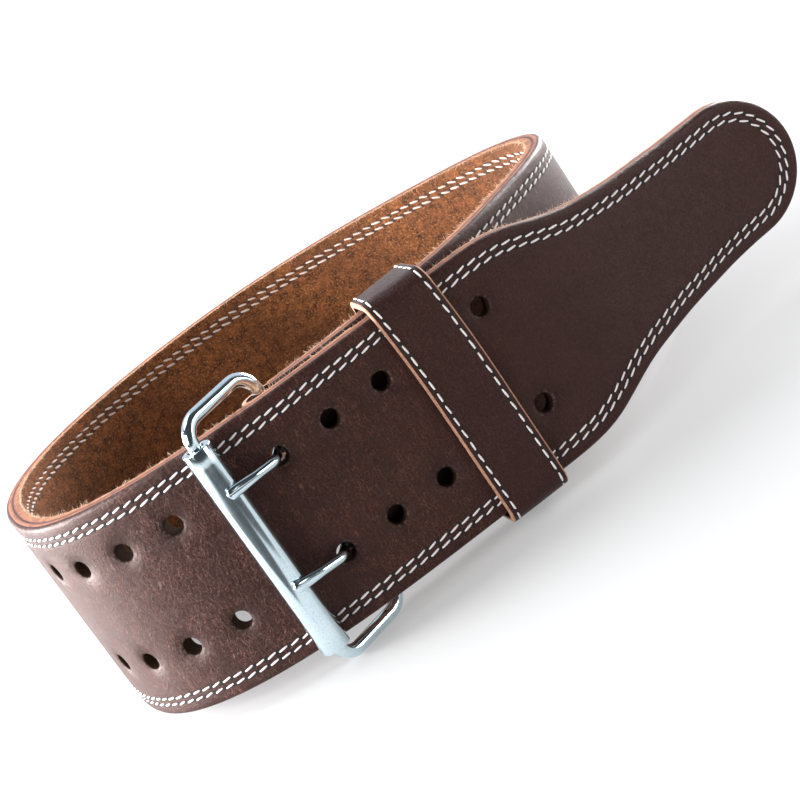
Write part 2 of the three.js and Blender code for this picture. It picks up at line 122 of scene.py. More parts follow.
# Where the keeper and the chape start in that pattern, clear of the strap
KEEPER_FLAT = (400, 300)
CHAPE_FLAT = 600
# Distances from a hole's centre are kept up to this one
HOLE_SHADE = 15.0


def spline(controls, steps):
    """Uniform cubic B-spline: points and headings."""
    c = np.array(controls, float)
    t = np.linspace(0, 1, steps, endpoint=False)[:, None]
    weights = [(1 - t) ** 3 / 6, (3 * t**3 - 6 * t**2 + 4) / 6,
               (-3 * t**3 + 3 * t**2 + 3 * t + 1) / 6, t**3 / 6]
    slopes = [-((1 - t) ** 2) / 2, (3 * t**2 - 4 * t) / 2, (-3 * t**2 + 2 * t + 1) / 2, t**2 / 2]
    spans = range(len(c) - 3)
    points = [sum(w * c[i + k] for k, w in enumerate(weights)) for i in spans]
    headings = [sum(w * c[i + k] for k, w in enumerate(slopes)) for i in spans]
    points.append(((c[-3] + 4 * c[-2] + c[-1]) / 6)[None])
    headings.append(((c[-1] - c[-3]) / 2)[None])
    return np.concatenate(points), np.concatenate(headings)


def lengths_along(points):
    """Length of a line of points up to each of them."""
    return np.concatenate([[0], np.cumsum(np.linalg.norm(np.diff(points, axis=0), axis=1))])


def unit_rows(vectors):
    """The vectors of a table, each made one long."""
    return vectors / np.linalg.norm(vectors, axis=1)[:, None]


def pick_columns(wanted, run, table):
    """Columns of a table, read off at other places along its run."""
    return np.column_stack([np.interp(wanted, run, column) for column in table.T])


class Route:
    """Plan route of the grain face: s = 0 at the fastened holes, s > 0 towards the tongue."""

    def __init__(self, controls):
        self.points, headings = spline(controls, 96)
        self.headings = -unit_rows(headings)
        gaps = np.linalg.norm(np.diff(self.points, axis=0), axis=1)
        travelled = np.concatenate([[0], np.cumsum(gaps)])
        cross = int(np.argmax(self.points[:, 0] <= 0))
        x0, x1 = self.points[cross - 1, 0], self.points[cross, 0]
        zero = travelled[cross - 1] + x0 / (x0 - x1) * gaps[cross - 1]
        self.back = travelled - zero
        self.end = -self.back[-1]

    def at(self, s):
        """Places on the grain face at s, with the headings along the strap and out of it."""
        s = np.atleast_1d(np.asarray(s, float))
        place = pick_columns(-s, self.back, self.points)
        along = unit_rows(pick_columns(-s, self.back, self.headings))
        # Beyond the tip or the body end the route runs straight on
        over = np.maximum(s + self.back[0], 0) + np.minimum(s + self.back[-1], 0)
        return place + along * over[:, None], along, np.column_stack([along[:, 1], -along[:, 0]])


controls = [(a * TAIL_LENGTH, d * TAIL_LENGTH) for a, d in TAIL_ROUTE]
controls += [(a * LOOP_WIDTH, d * LOOP_DEPTH) for a, d in LOOP_ROUTE]
tail_route = Route(controls)
for lead in (1, 0, -1):
    place, along, out = tail_route.at(BODY_END_U + lead * BODY_LEAD)
    controls.append(tuple(place[0] - BODY_LIE * out[0]))
route = Route(controls)
FAST_PLACE, FAST_ALONG, FAST_OUT = (v[0] for v in tail_route.at(0))


def from_fastening(u, depth):
    """Plan point u along and depth behind the fastened holes."""
    return FAST_PLACE + np.multiply.outer(u, FAST_ALONG) - np.multiply.outer(depth, FAST_OUT)


HEEL = from_fastening(HEEL_U, HEEL_DEPTH)
_place, _along, ROLLER_OUT = (v[0] for v in route.at(-ROLLER_REACH))
ROLLER = _place + ROLLER_OUT * (CLEARANCE + ROLLER_DIAMETER / 2)
SIN, COS = math.sin(STAND_TILT), math.cos(STAND_TILT)
LEAN = Matrix(((1, 0, 0), (0, COS, SIN), (0, -SIN, COS)))
frame_low, frame_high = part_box("buckle_frame")
_middle = (ROLLER + HEEL) / 2
SET_DOWN = (frame_low + frame_high) / 2 - LEAN @ Vector((_middle[0], _middle[1], FRAME_RAISE)) * MM


def to_row(points):
    """Belt frame in millimetres to the row frame in metres."""
    p = np.asarray(points, float)
    y = COS * p[:, 1] + SIN * p[:, 2]
    z = -SIN * p[:, 1] + COS * p[:, 2]
    return np.column_stack([p[:, 0], y, z]) * MM + np.array(SET_DOWN)


def turn_to_row(vectors):
    """Belt frame directions to the row frame."""
    v = np.asarray(vectors, float)
    return np.column_stack([v[:, 0], COS * v[:, 1] + SIN * v[:, 2], -SIN * v[:, 1] + COS * v[:, 2]])


# Camera in the belt frame, solved on the photo's strap edges, holes and stitch rows, with the strap's width
# and the pitches of its holes and stitches held
CAM_ELEVATION, CAM_AZIMUTH, CAM_ROLL = 0.2555, -0.0827, 0.5992
CAM_SHIFT_RIGHT, CAM_SHIFT_DOWN, CAM_DISTANCE = -33.32, 43.73, 909.05
CAM_FOCAL_PIXELS = math.exp(7.7302)
PHOTO_PIXELS = 800
CAM_SENSOR = 36


def make_camera():
    """The photo's camera, turned and set down with the belt."""
    ca, sa = math.cos(CAM_AZIMUTH), math.sin(CAM_AZIMUTH)
    ce, se = math.cos(CAM_ELEVATION), math.sin(CAM_ELEVATION)
    forward = Vector((-sa * ce, ca * ce, -se))
    right = Vector((ca, sa, 0))
    down = forward.cross(right)
    cr, sr = math.cos(CAM_ROLL), math.sin(CAM_ROLL)
    turned_right = cr * right + sr * down
    turned_down = -sr * right + cr * down
    spot = -(CAM_SHIFT_RIGHT * turned_right + CAM_SHIFT_DOWN * turned_down + CAM_DISTANCE * forward)
    axes = [LEAN @ turned_right, LEAN @ -turned_down, LEAN @ -forward]
    data = bpy.data.cameras.new("camera")
    data.sensor_fit = "HORIZONTAL"
    data.sensor_width = CAM_SENSOR
    data.lens = CAM_FOCAL_PIXELS / PHOTO_PIXELS * CAM_SENSOR
    camera = bpy.data.objects.new("camera", data)
    bpy.context.scene.collection.objects.link(camera)
    place = Matrix.Translation(LEAN @ spot * MM + SET_DOWN)
    camera.matrix_world = place @ Matrix(axes).transposed().to_4x4()
    bpy.context.scene.camera = camera


make_camera()


def add_node(tree, kind, inputs=None, **settings):
    """New node in a tree; each input is a value, or the socket that feeds it."""
    node = tree.nodes.new(kind)
    for key, value in settings.items():
        setattr(node, key, value)
    for key, value in (inputs or {}).items():
        if isinstance(value, bpy.types.NodeSocket):
            tree.links.new(value, node.inputs[key])
        else:
            node.inputs[key].default_value = value
    return node


class Tree:
    """Short-hand for a material's nodes."""

    def __init__(self, name):
        self.material = bpy.data.materials.new(name)
        self.material.use_nodes = True
        self.tree = self.material.node_tree
        self.tree.nodes.clear()
        self.shader = self.add("ShaderNodeBsdfPrincipled")
        self.add("ShaderNodeOutputMaterial", {"Surface": self.shader.outputs[0]})

    def add(self, kind, inputs=None, **settings):
        return add_node(self.tree, kind, inputs, **settings)

    def feed(self, name, value):
        """Gives an input of the shader a value, or the socket that feeds it."""
        if isinstance(value, bpy.types.NodeSocket):
            self.tree.links.new(value, self.shader.inputs[name])
        else:
            self.shader.inputs[name].default_value = value

    def math(self, operation, a, b=0.0):
        return self.add("ShaderNodeMath", {0: a, 1: b}, operation=operation).outputs[0]

    def times(self, a, b):
        return self.math("MULTIPLY", a, b)

    def ramp(self, value, stops):
        node = self.add("ShaderNodeValToRGB", {"Fac": value})
        elements = node.color_ramp.elements
        while len(elements) < len(stops):
            elements.new(0.5)
        for element, (position, colour) in zip(elements, stops):
            element.position = position
            element.color = (*colour, 1) if isinstance(colour, tuple) else (colour, colour, colour, 1)
        return node.outputs["Color"]

    def mix(self, factor, a, b):
        a, b = ((*colour, 1) if isinstance(colour, tuple) else colour for colour in (a, b))
        return self.add("ShaderNodeMix", {0: factor, 6: a, 7: b}, data_type="RGBA").outputs[2]

    def map_range(self, value, low, high):
        return self.add("ShaderNodeMapRange", {"Value": value, "To Min": low, "To Max": high}).outputs[0]

    def noise(self, vector, scale, detail=3.0, roughness=0.5, distortion=0.0):
        inputs = {"Vector": vector, "Scale": scale, "Detail": detail, "Roughness": roughness}
        return self.add("ShaderNodeTexNoise", {**inputs, "Distortion": distortion}).outputs["Fac"]

    def flat(self, stretch=(1, 1, 1)):
        """The leather's own surface in millimetres."""
        uv = self.add("ShaderNodeUVMap", uv_map="Flat").outputs[0]
        scale = tuple(FLAT_UNIT * k for k in stretch)
        return self.add("ShaderNodeVectorMath", {0: uv, 1: scale}, operation="MULTIPLY").outputs[0]

    def solid(self, stretch=(1, 1, 1)):
        """The object's own space in millimetres."""
        at = self.add("ShaderNodeTexCoord").outputs["Object"]
        scale = tuple(k / MM for k in stretch)
        return self.add("ShaderNodeVectorMath", {0: at, 1: scale}, operation="MULTIPLY").outputs[0]

    def attribute(self, name):
        return self.add("ShaderNodeAttribute", attribute_name=name).outputs["Fac"]

    def bump(self, height, distance, strength=1.0, normal=None):
        inputs = {"Height": height, "Distance": distance * MM, "Strength": strength}
        if normal is not None:
            inputs["Normal"] = normal
        return self.add("ShaderNodeBump", inputs).outputs[0]

    def finish(self, colour, roughness, normal=None, **constants):
        self.feed("Base Color", colour)
        self.feed("Roughness", roughness)
        if normal is not None:
            self.feed("Normal", normal)
        for name, value in constants.items():
            self.feed(name.replace("_", " "), value)
        return self.material


def grain_leather(name, holes=True):
    """Dark brown grain leather: pores, hair creases, cloudy dye, burnished hole rims."""
    t = Tree(name)
    at = t.flat()
    warp = t.noise(at, 0.35, 2)
    warped = t.add("ShaderNodeVectorMath", {0: at, 1: warp}, operation="ADD").outputs[0]
    pores = t.add("ShaderNodeTexVoronoi", {"Vector": warped, "Scale": 1.15, "Smoothness": 0.4},
                  feature="SMOOTH_F1").outputs["Distance"]
    hair = t.noise(t.flat((1.0, 0.36, 1.0)), 0.46, 2, 0.5, 1.1)
    hairs = t.ramp(hair, [(0.482, 0.0), (0.494, 1.0), (0.506, 1.0), (0.518, 0.0)])
    fine = t.noise(t.flat((1.0, 0.4, 1.0)), 0.9, 2, 0.5, 0.5)
    lines = t.ramp(fine, [(0.465, 0.0), (0.49, 1.0), (0.51, 1.0), (0.535, 0.0)])
    hairs = t.math("MAXIMUM", hairs, t.times(lines, 0.35))
    tongue = t.math("DIVIDE", t.add("ShaderNodeSeparateXYZ", {0: at}).outputs["X"], 200.0)
    smooth = t.ramp(tongue, [(0.15, 1.0), (0.6, 0.2)])
    patches = t.times(t.ramp(t.noise(at, 0.07, 4, 0.65), [(0.38, 0.2), (0.58, 1.0)]), smooth)
    cloud = t.noise(at, 0.035, 3, 0.55)
    fleck = t.ramp(t.noise(at, 1.1, 2, 0.6), [(0.56, 0.0), (0.72, 1.0)])
    dark = t.ramp(t.noise(at, 0.7, 3, 0.6), [(0.36, 1.0), (0.54, 0.0)])
    brown = t.mix(cloud, (0.0145, 0.0036, 0.0029), (0.036, 0.0105, 0.0080))
    brown = t.mix(t.times(fleck, 0.7), brown, (0.085, 0.034, 0.025))
    brown = t.mix(t.times(dark, 0.6), brown, (0.006, 0.0022, 0.002))
    brown = t.mix(t.times(t.times(hairs, patches), 0.9), brown, (0.130, 0.050, 0.034))
    if holes:
        near = t.math("DIVIDE", t.attribute("hole"), HOLE_SHADE)
        rim = t.ramp(near, [(0.26, 0.9), (0.31, 0.45), (0.44, 0.12), (0.62, 0.0)])
        brown = t.mix(rim, brown, (0.0075, 0.0035, 0.003))
        scuff = t.ramp(near, [(0.27, 0.0), (0.305, 1.0), (0.335, 0.4), (0.39, 0.0)])
        spots = t.ramp(t.noise(at, 0.7, 4, 0.7), [(0.50, 0.0), (0.62, 1.0)])
        brown = t.mix(t.times(t.times(scuff, spots), 0.55), brown, (0.20, 0.13, 0.10))
    height = t.math("ADD", t.times(pores, 0.45), t.times(hairs, -0.9))
    height = t.math("ADD", height, t.times(t.noise(at, 3.0, 4, 0.65), 0.5))
    normal = t.bump(t.noise(at, 0.11, 3), 1.0, 0.4)
    if holes:
        dimple = t.ramp(near, [(0.26, 0.0), (0.36, 0.4), (0.5, 0.8), (0.62, 0.95), (0.8, 1.0)])
        normal = t.bump(dimple, 1.6, 1.0, normal)
    normal = t.bump(height, 0.3, 0.8, normal)
    rough = t.map_range(t.noise(at, 0.5, 4, 0.65), 0.36, 0.56)
    return t.finish(brown, rough, normal, Specular_IOR_Level=0.28, Specular_Tint=(1.0, 0.72, 0.66, 1),
                    Coat_Weight=0.06, Coat_Roughness=0.3)


def suede(name):
    """Napped suede: mottled tan and brown, matt, with a short nap."""
    t = Tree(name)
    at = t.flat()
    mottle = t.noise(at, 0.2, 6, 0.78)
    cloud = t.noise(at, 0.03, 3, 0.5)
    grit = t.noise(at, 0.9, 4, 0.8)
    brown = t.mix(t.ramp(mottle, [(0.36, 0.0), (0.64, 1.0)]), (0.036, 0.0105, 0.003), (0.33, 0.108, 0.030))
    brown = t.mix(t.ramp(grit, [(0.52, 0.0), (0.66, 1.0)]), brown, (0.56, 0.26, 0.105))
    pits = t.ramp(t.noise(at, 0.55, 4, 0.8), [(0.34, 0.65), (0.50, 0.0)])
    brown = t.mix(pits, brown, (0.045, 0.015, 0.005))
    shade = t.times(t.ramp(cloud, [(0.3, 1.0), (0.6, 0.0)]), 0.5)
    brown = t.mix(shade, brown, (0.07, 0.025, 0.010))
    near = t.math("DIVIDE", t.attribute("hole"), HOLE_SHADE)
    rim = t.ramp(near, [(0.27, 0.8), (0.34, 0.3), (0.45, 0.0)])
    brown = t.mix(rim, brown, (0.06, 0.03, 0.018))
    fine = t.bump(t.noise(at, 1.8, 5, 0.8), 0.8, 1.0)
    normal = t.bump(mottle, 0.6, 0.35, fine)
    return t.finish(brown, 0.95, normal, Sheen_Weight=0.12, Sheen_Roughness=0.5, Specular_IOR_Level=0.1)


def raw_edge(name):
    """Cut edge of the two plies: burnished at the grain, dark at the glue line, orange within."""
    t = Tree(name)
    depth = t.math("DIVIDE", t.attribute("depth"), THICKNESS)
    fibre_at = t.solid((0.25, 0.25, 1.0))
    wobble = t.times(t.math("SUBTRACT", t.noise(fibre_at, 0.6, 4, 0.7), 0.5), 0.11)
    depth = t.math("ADD", depth, wobble)
    stops = [(0.0, (0.05, 0.026, 0.025)), (0.13, (0.09, 0.045, 0.042)), (0.20, (0.14, 0.065, 0.055)),
             (0.27, (0.37, 0.155, 0.095)), (0.41, (0.30, 0.115, 0.068)), (0.48, (0.06, 0.024, 0.022)),
             (0.56, (0.09, 0.037, 0.032)), (0.65, (0.36, 0.145, 0.082)), (0.88, (0.42, 0.175, 0.085)),
             (0.98, (0.56, 0.31, 0.14))]
    colour = t.ramp(depth, stops)
    streak = t.noise(t.solid((0.12, 0.12, 1.0)), 1.6, 4, 0.75)
    colour = t.mix(t.ramp(streak, [(0.38, 0.75), (0.58, 0.0)]), colour, (0.12, 0.045, 0.03))
    spot = t.noise(t.solid(), 0.9, 4, 0.7)
    colour = t.mix(t.ramp(spot, [(0.60, 0.0), (0.78, 0.6)]), colour, (0.75, 0.46, 0.28))
    normal = t.bump(t.noise(t.solid((0.3, 0.3, 1.0)), 2.2, 4, 0.7), 0.5, 0.7)
    return t.finish(colour, 0.82, normal, Specular_IOR_Level=0.3)


def hole_wall_painted_shade(name):
    """Wall of a punched hole, coloured near black: painted shade of the inside of the hole, not the orange
    of the cut leather.
    """
    t = Tree(name)
    mottle = t.noise(t.solid(), 1.4, 4, 0.7)
    # Near-black browns: painted shade inside the hole
    colour = t.mix(mottle, (0.006, 0.003, 0.002), (0.045, 0.022, 0.011))
    return t.finish(colour, 0.9, t.bump(mottle, 0.4, 0.8), Specular_IOR_Level=0.05)


def cut_leather(name):
    """Light, slightly furry cut edge of single leather."""
    t = Tree(name)
    spot = t.noise(t.solid(), 1.3, 5, 0.75)
    colour = t.mix(t.ramp(spot, [(0.3, 0.0), (0.7, 1.0)]), (0.22, 0.085, 0.05), (0.56, 0.32, 0.215))
    return t.finish(colour, 0.8, t.bump(t.noise(t.solid(), 3.0, 3, 0.7), 0.3, 0.7))


def thread(name, low, high):
    """Waxed thread, its twist being in the shape of a stitch."""
    t = Tree(name)
    fibre = t.noise(t.solid(), 5.0, 3, 0.6)
    colour = t.mix(t.ramp(fibre, [(0.35, 0.0), (0.65, 1.0)]), low, high)
    return t.finish(colour, 0.6, t.bump(fibre, 0.15, 0.6), Sheen_Weight=0.2)


def needle_hole_painted_shade(name, low, high):
    """Painted shade of a needle hole: a dark colour that stands for the shade inside it."""
    t = Tree(name)
    return t.finish(t.mix(t.noise(t.solid(), 2.0, 2), low, high), 0.9)


def fluff(name):
    """Loose light fibre at the suede's edge."""
    t = Tree(name)
    tone = t.noise(t.solid(), 0.4, 2)
    return t.finish(t.mix(tone, (0.42, 0.24, 0.13), (0.75, 0.56, 0.40)), 0.9, Sheen_Weight=0.4)


def steel(name):
    """Bright plated steel with faint drawing marks, pitted specks and handling haze."""
    t = Tree(name)
    haze = t.noise(t.solid(), 0.12, 4, 0.6)
    marks = t.noise(t.solid((1.0, 1.0, 0.08)), 3.0, 3, 0.7)
    specks = t.ramp(t.noise(t.solid(), 1.7, 4, 0.75), [(0.54, 0.0), (0.68, 1.0)])
    rough = t.math("ADD", t.map_range(haze, 0.09, 0.14), t.times(specks, 0.10))
    colour = t.mix(haze, (0.56, 0.70, 0.76), (0.72, 0.84, 0.89))
    colour = t.mix(t.times(specks, 0.55), colour, (0.20, 0.27, 0.31))
    normal = t.bump(marks, 0.0015, 0.4)
    return t.finish(colour, rough, normal, Metallic=1.0)


GRAIN = grain_leather("grain_leather")
GRAIN_PLAIN = grain_leather("grain_leather_plain", holes=False)
SUEDE = suede("suede")
EDGE = raw_edge("raw_edge")
# The holes' walls are coloured near black as painted shade of the inside of each hole
WALL = hole_wall_painted_shade("hole_wall_painted_shade")
CUT = cut_leather("cut_leather")
THREAD = thread("thread", (0.58, 0.54, 0.52), (0.86, 0.84, 0.83))
THREAD_WORN = thread("thread_worn", (0.42, 0.32, 0.27), (0.80, 0.70, 0.65))
# Needle holes: near black on the grain, dark brown in the nap, as painted shade inside the holes
PIT = needle_hole_painted_shade("needle_hole_painted_shade", (0.006, 0.004, 0.004), (0.014, 0.008, 0.007))
PIT_NAP = needle_hole_painted_shade("needle_hole_painted_shade_nap", (0.035, 0.013, 0.006), (0.09, 0.036, 0.016))
FLUFF = fluff("fluff")
STEEL = steel("steel")

# Edges that turn by more degrees than SHARP are drawn sharp. Corners nearer than MERGE metres become one
SHARP = 40
MERGE = 2e-6


def make_object(name, points, faces, flat=None, attributes=None, materials=(), indices=None,
                sharp=SHARP, row=True):
    """Mesh object from points, in the belt frame where row is set; its place in the flat is its UV map."""
    points = np.asarray(points, float)
    where = to_row(points) if row else points * MM
    mesh = bpy.data.meshes.new(name)
    mesh.from_pydata(where.tolist(), [], [tuple(int(k) for k in f) for f in faces])
    if flat is not None:
        layer = mesh.uv_layers.new(name="Flat")
        corners = np.zeros(len(mesh.loops), int)
        mesh.loops.foreach_get("vertex_index", corners)
        layer.data.foreach_set("uv", (np.asarray(flat, float)[corners] / FLAT_UNIT).ravel())
    for key, values in (attributes or {}).items():
        mesh.attributes.new(key, "FLOAT", "POINT").data.foreach_set("value", np.asarray(values, float))
    for material in materials:
        mesh.materials.append(material)
    if indices is not None:
        mesh.polygons.foreach_set("material_index", np.asarray(indices, int))
    bm = bmesh.new()
    bm.from_mesh(mesh)
    bmesh.ops.remove_doubles(bm, verts=bm.verts, dist=MERGE)
    loose = [v for v in bm.verts if not v.link_faces]
    bmesh.ops.delete(bm, geom=loose, context="VERTS")
    bmesh.ops.recalc_face_normals(bm, faces=bm.faces)
    limit = math.radians(sharp)
    for edge in bm.edges:
        edge.smooth = len(edge.link_faces) != 2 or edge.calc_face_angle(0) < limit
    for face in bm.faces:
        face.smooth = True
    bm.to_mesh(mesh)
    bm.free()
    item = bpy.data.objects.new(name, mesh)
    bpy.context.scene.collection.objects.link(item)
    return item


# Mesh of the strap: columns along it and rows across it, with a sewn band of fixed width at either edge.
# A patch of cells, so many along and so many across, makes room for each hole between the bands
LOOP_STEP, TAIL_STEP = 3.0, 2.5
BAND = 12.0
CORE = HALF_WIDTH - BAND
PATCH = 11.1
CELL = (12, 11)
MIDDLE_ROWS, LAST_ROWS = 13, 2
PATCH_ROWS = (0, CELL[1] + MIDDLE_ROWS)
UPPER_HOLE, LOWER_HOLE = HOLE_HEIGHTS
ROWS = np.concatenate([np.linspace(CORE, UPPER_HOLE - PATCH, CELL[1] + 1),
                       np.linspace(UPPER_HOLE - PATCH, LOWER_HOLE + PATCH, MIDDLE_ROWS + 1)[1:],
                       np.linspace(LOWER_HOLE + PATCH, LOWER_HOLE - PATCH, CELL[1] + 1)[1:],
                       np.linspace(LOWER_HOLE - PATCH, -CORE, LAST_ROWS + 1)[1:]])
ROW_SHARES = (CORE - ROWS) / (2 * CORE)

# Edge profiles: (inset from the outline, depth below the ply's face), grooved under each row of stitches
GRAIN_PROFILE = [(0.0, GRAIN_PLY), (0.0, 3.4), (0.0, 2.5), (0.04, 1.9), (0.22, 1.2), (0.62, 0.58),
                 (1.2, 0.22), (2.0, 0.04), (3.2, 0.0), (4.6, 0.0), (5.35, 0.07), (5.83, 0.13), (6.3, 0.07),
                 (7.35, 0.0), (8.4, 0.07), (8.91, 0.13), (9.4, 0.07), (10.4, 0.0), (BAND, 0.0)]
SUEDE_PROFILE = [(0.0, LINING_PLY + CLEARANCE / 2), (0.0, 2.6), (0.0, 1.4), (0.02, 0.6), (0.16, 0.22),
                 (0.5, 0.05), (1.2, 0.0), (2.6, 0.0), (4.4, 0.0), (5.3, 0.08), (5.83, 0.18), (6.35, 0.08),
                 (7.35, 0.0), (8.4, 0.08), (8.91, 0.18), (9.45, 0.08), (10.4, 0.0), (BAND, 0.0)]
# Profile corners with a smaller inset than this belong to the cut edge
RAW_INSET = 0.03
# Rings round a hole: shares of the way out to the patch's border, then (radius, depth) over the rim and down
FACE_SHARES = (0.7, 0.42, 0.18)
HOLE_RINGS = [(5.4, 0.0), (4.75, 0.03), (4.35, 0.15), (4.12, 0.4), (4.0, 0.8), (3.98, 2.3)]
INNER_SHARE = 0.45
# Steps between those rings that are the hole's wall; the ones after them lie between the plies
WALL_STEPS = range(7, 10)


def half_width(s):
    """Half width of the strap at s, up to the tongue's centre."""
    knots = [(a * TAIL_LENGTH, TONGUE_RADIUS + w * (HALF_WIDTH - TONGUE_RADIUS)) for a, w in TAPER]
    line, _ = spline(knots, 24)
    return np.interp(s, line[:, 0], line[:, 1], left=HALF_WIDTH, right=TONGUE_RADIUS)


def outline():
    """Upper outline of the flat strap from body end to tip: places (s, z) and inward directions."""
    zone_low, zone_high = (PAIRS[0] - 0.5) * HOLE_PITCH, (PAIRS[-1] + 0.5) * HOLE_PITCH
    loop_steps = math.ceil((zone_low - route.end) / LOOP_STEP)
    tail_steps = math.ceil((TONGUE_CENTRE - zone_high) / TAIL_STEP)
    loop = np.linspace(route.end, zone_low, loop_steps, endpoint=False)
    holed = np.linspace(zone_low, zone_high, CELL[0] * len(PAIRS), endpoint=False)
    tail = np.linspace(zone_high, TONGUE_CENTRE, tail_steps, endpoint=False)
    s = np.concatenate([loop, holed, tail])
    h = half_width(s)
    slope = half_width(s + 0.5) - half_width(s - 0.5)
    size = np.sqrt(1 + slope**2)
    inward = np.column_stack([slope / size, -1 / size])
    angle = np.radians(np.linspace(90, 0, 24))
    outward = np.column_stack([np.cos(angle), np.sin(angle)])
    places = np.concatenate([np.column_stack([s, h]), (TONGUE_CENTRE, 0.0) + TONGUE_RADIUS * outward])
    return places, np.concatenate([inward, -outward]), len(loop)


PLACES, INWARD, FIRST_HOLED = outline()


def on_strap(s, z, depth):
    """Belt frame points of the strap: depth is behind the grain face."""
    place, _, out = route.at(s)
    flat = place - out * np.asarray(depth, float)[:, None]
    return np.column_stack([flat, z])


def nearest_hole(s, z):
    """Distance to the nearest hole's centre in the flat strap."""
    pair = np.clip(np.round(s / HOLE_PITCH), PAIRS[0], PAIRS[-1])
    across = np.min([np.abs(z - h) for h in HOLE_HEIGHTS], axis=0)
    return np.minimum(np.hypot(s - pair * HOLE_PITCH, across), HOLE_SHADE)


def patch_border(first, top):
    """Grid corners round the patch of one hole: (column along the strap, row)."""
    along, across = CELL
    border = [(first + k, top) for k in range(along)]
    border += [(first + along, top + k) for k in range(across)]
    border += [(first + along - k, top + across) for k in range(along)]
    border += [(first, top + across - k) for k in range(across)]
    return border


def strap_ply(name, profile, face_depth, inward_sign, materials):
    """One ply of the strap with its punched holes, as a closed mesh in three materials."""
    face, cut, wall = range(len(materials))
    rows = len(ROWS) - 1
    ply = profile[0][1]
    insets = np.array([inset for inset, _ in profile])
    levels = [level for _, level in profile]
    # A column of corners goes down the face, edges included, and back up between the plies
    anchor = PLACES + INWARD * BAND
    upper = PLACES[:, None] + INWARD[:, None] * insets[None, :, None]
    lower = (upper * [1.0, -1.0])[:, ::-1]
    heights = anchor[:, 1:] * (1 - 2 * ROW_SHARES)[None]
    between = np.stack([np.repeat(anchor[:, :1], rows + 1, 1), heights], axis=2)
    column = np.concatenate([upper, between[:, 1:-1], lower, between[:, ::-1]], axis=1)
    depth = np.array(levels + [0.0] * (rows - 1) + levels[::-1] + [ply] * (rows + 1))
    count = column.shape[1]
    last_front = 2 * len(profile) + rows - 2
    flat = list(column.reshape(-1, 2))
    deep = list(np.tile(depth, len(PLACES)))
    faces, indices, skipped = [], [], set()

    def front(row):
        return len(profile) - 1 + row

    def inner(row):
        return last_front + 1 + rows - row

    def punch(pair, number):
        """Cuts one hole into the grid and lines it with rings."""
        first, top = FIRST_HOLED + CELL[0] * pair, PATCH_ROWS[number]
        for i in range(first, first + CELL[0]):
            for row in range(top, top + CELL[1]):
                skipped.update({(i, front(row)), (i, inner(row + 1))})
        border = patch_border(first, top)
        loops = [[i * count + front(row) for i, row in border]]
        centre = np.array([PAIRS[pair] * HOLE_PITCH, HOLE_HEIGHTS[number]])
        reach = np.array([flat[k] for k in loops[0]]) - centre
        far = np.linalg.norm(reach, axis=1)
        rings = [(HOLE_RINGS[0][0], share, 0.0) for share in FACE_SHARES]
        rings += [(radius, 0, level) for radius, level in HOLE_RINGS]
        rings += [(HOLE_RINGS[-1][0], 0, ply), (HOLE_RINGS[0][0], INNER_SHARE, ply)]
        for near, share, level in rings:
            distance = near + (far - near) * share
            loops.append(list(range(len(flat), len(flat) + len(far))))
            flat.extend(centre + reach / far[:, None] * distance[:, None])
            deep.extend([level] * len(far))
        loops.append([i * count + inner(row) for i, row in border])
        for step, (a, b) in enumerate(zip(loops, loops[1:])):
            index = wall if step in WALL_STEPS else cut if step >= WALL_STEPS.stop else face
            for k in range(len(a)):
                j = (k + 1) % len(a)
                faces.append((a[k], a[j], b[j], b[k]))
                indices.append(index)

    for pair in range(len(PAIRS)):
        for number in range(len(HOLE_HEIGHTS)):
            punch(pair, number)
    raw = {k for k, inset in enumerate(insets[:-1]) if inset < RAW_INSET}
    raw |= {last_front - 1 - k for k in raw}
    for i in range(len(PLACES) - 1):
        a, b = i * count, (i + 1) * count
        for k in range(count):
            if (i, k) in skipped:
                continue
            j = (k + 1) % count
            faces.append((a + k, a + j, b + j, b + k))
            indices.append(cut if k >= last_front or k in raw else face)
    faces.append(tuple(range(count)))
    indices.append(cut)
    flat = np.array(flat)
    level = face_depth + inward_sign * np.array(deep)
    points = on_strap(flat[:, 0], flat[:, 1], level)
    attributes = {"depth": level, "hole": nearest_hole(flat[:, 0], flat[:, 1])}
    return make_object(name, points, faces, flat, attributes, materials, indices)


grain_ply = strap_ply("grain_ply", GRAIN_PROFILE, 0.0, 1.0, (GRAIN, EDGE, WALL))
suede_ply = strap_ply("suede_ply", SUEDE_PROFILE, THICKNESS, -1.0, (SUEDE, EDGE, WALL))


def ring_faces(total, count, closed=False):
    """Faces through rings of equal count: a torus if closed, else capped at both ends."""
    faces = []
    for i in range(total if closed else total - 1):
        a, b = i * count, ((i + 1) % total) * count
        for k in range(count):
            j = (k + 1) % count
            faces.append((a + k, a + j, b + j, b + k))
    if not closed:
        faces += [tuple(range(count)), tuple((total - 1) * count + k for k in range(count))]
    return faces


def ring_object(name, rings, materials, flat=None, indices=None, closed=True, sharp=SHARP):
    """Object with its faces through rings, and the last material on its caps."""
    rings = np.asarray(rings, float)
    total, count = rings.shape[:2]
    faces = ring_faces(total, count, closed)
    numbers = (indices or [0] * count) * (total if closed else total - 1)
    numbers += [len(materials) - 1] * (len(faces) - len(numbers))
    uv = None if flat is None else np.asarray(flat, float).reshape(-1, 2)
    return make_object(name, rings.reshape(-1, 3), faces, uv, None, materials, numbers, sharp)


# Steps along each straight side of the keeper's section
KEEPER_STEPS = 30


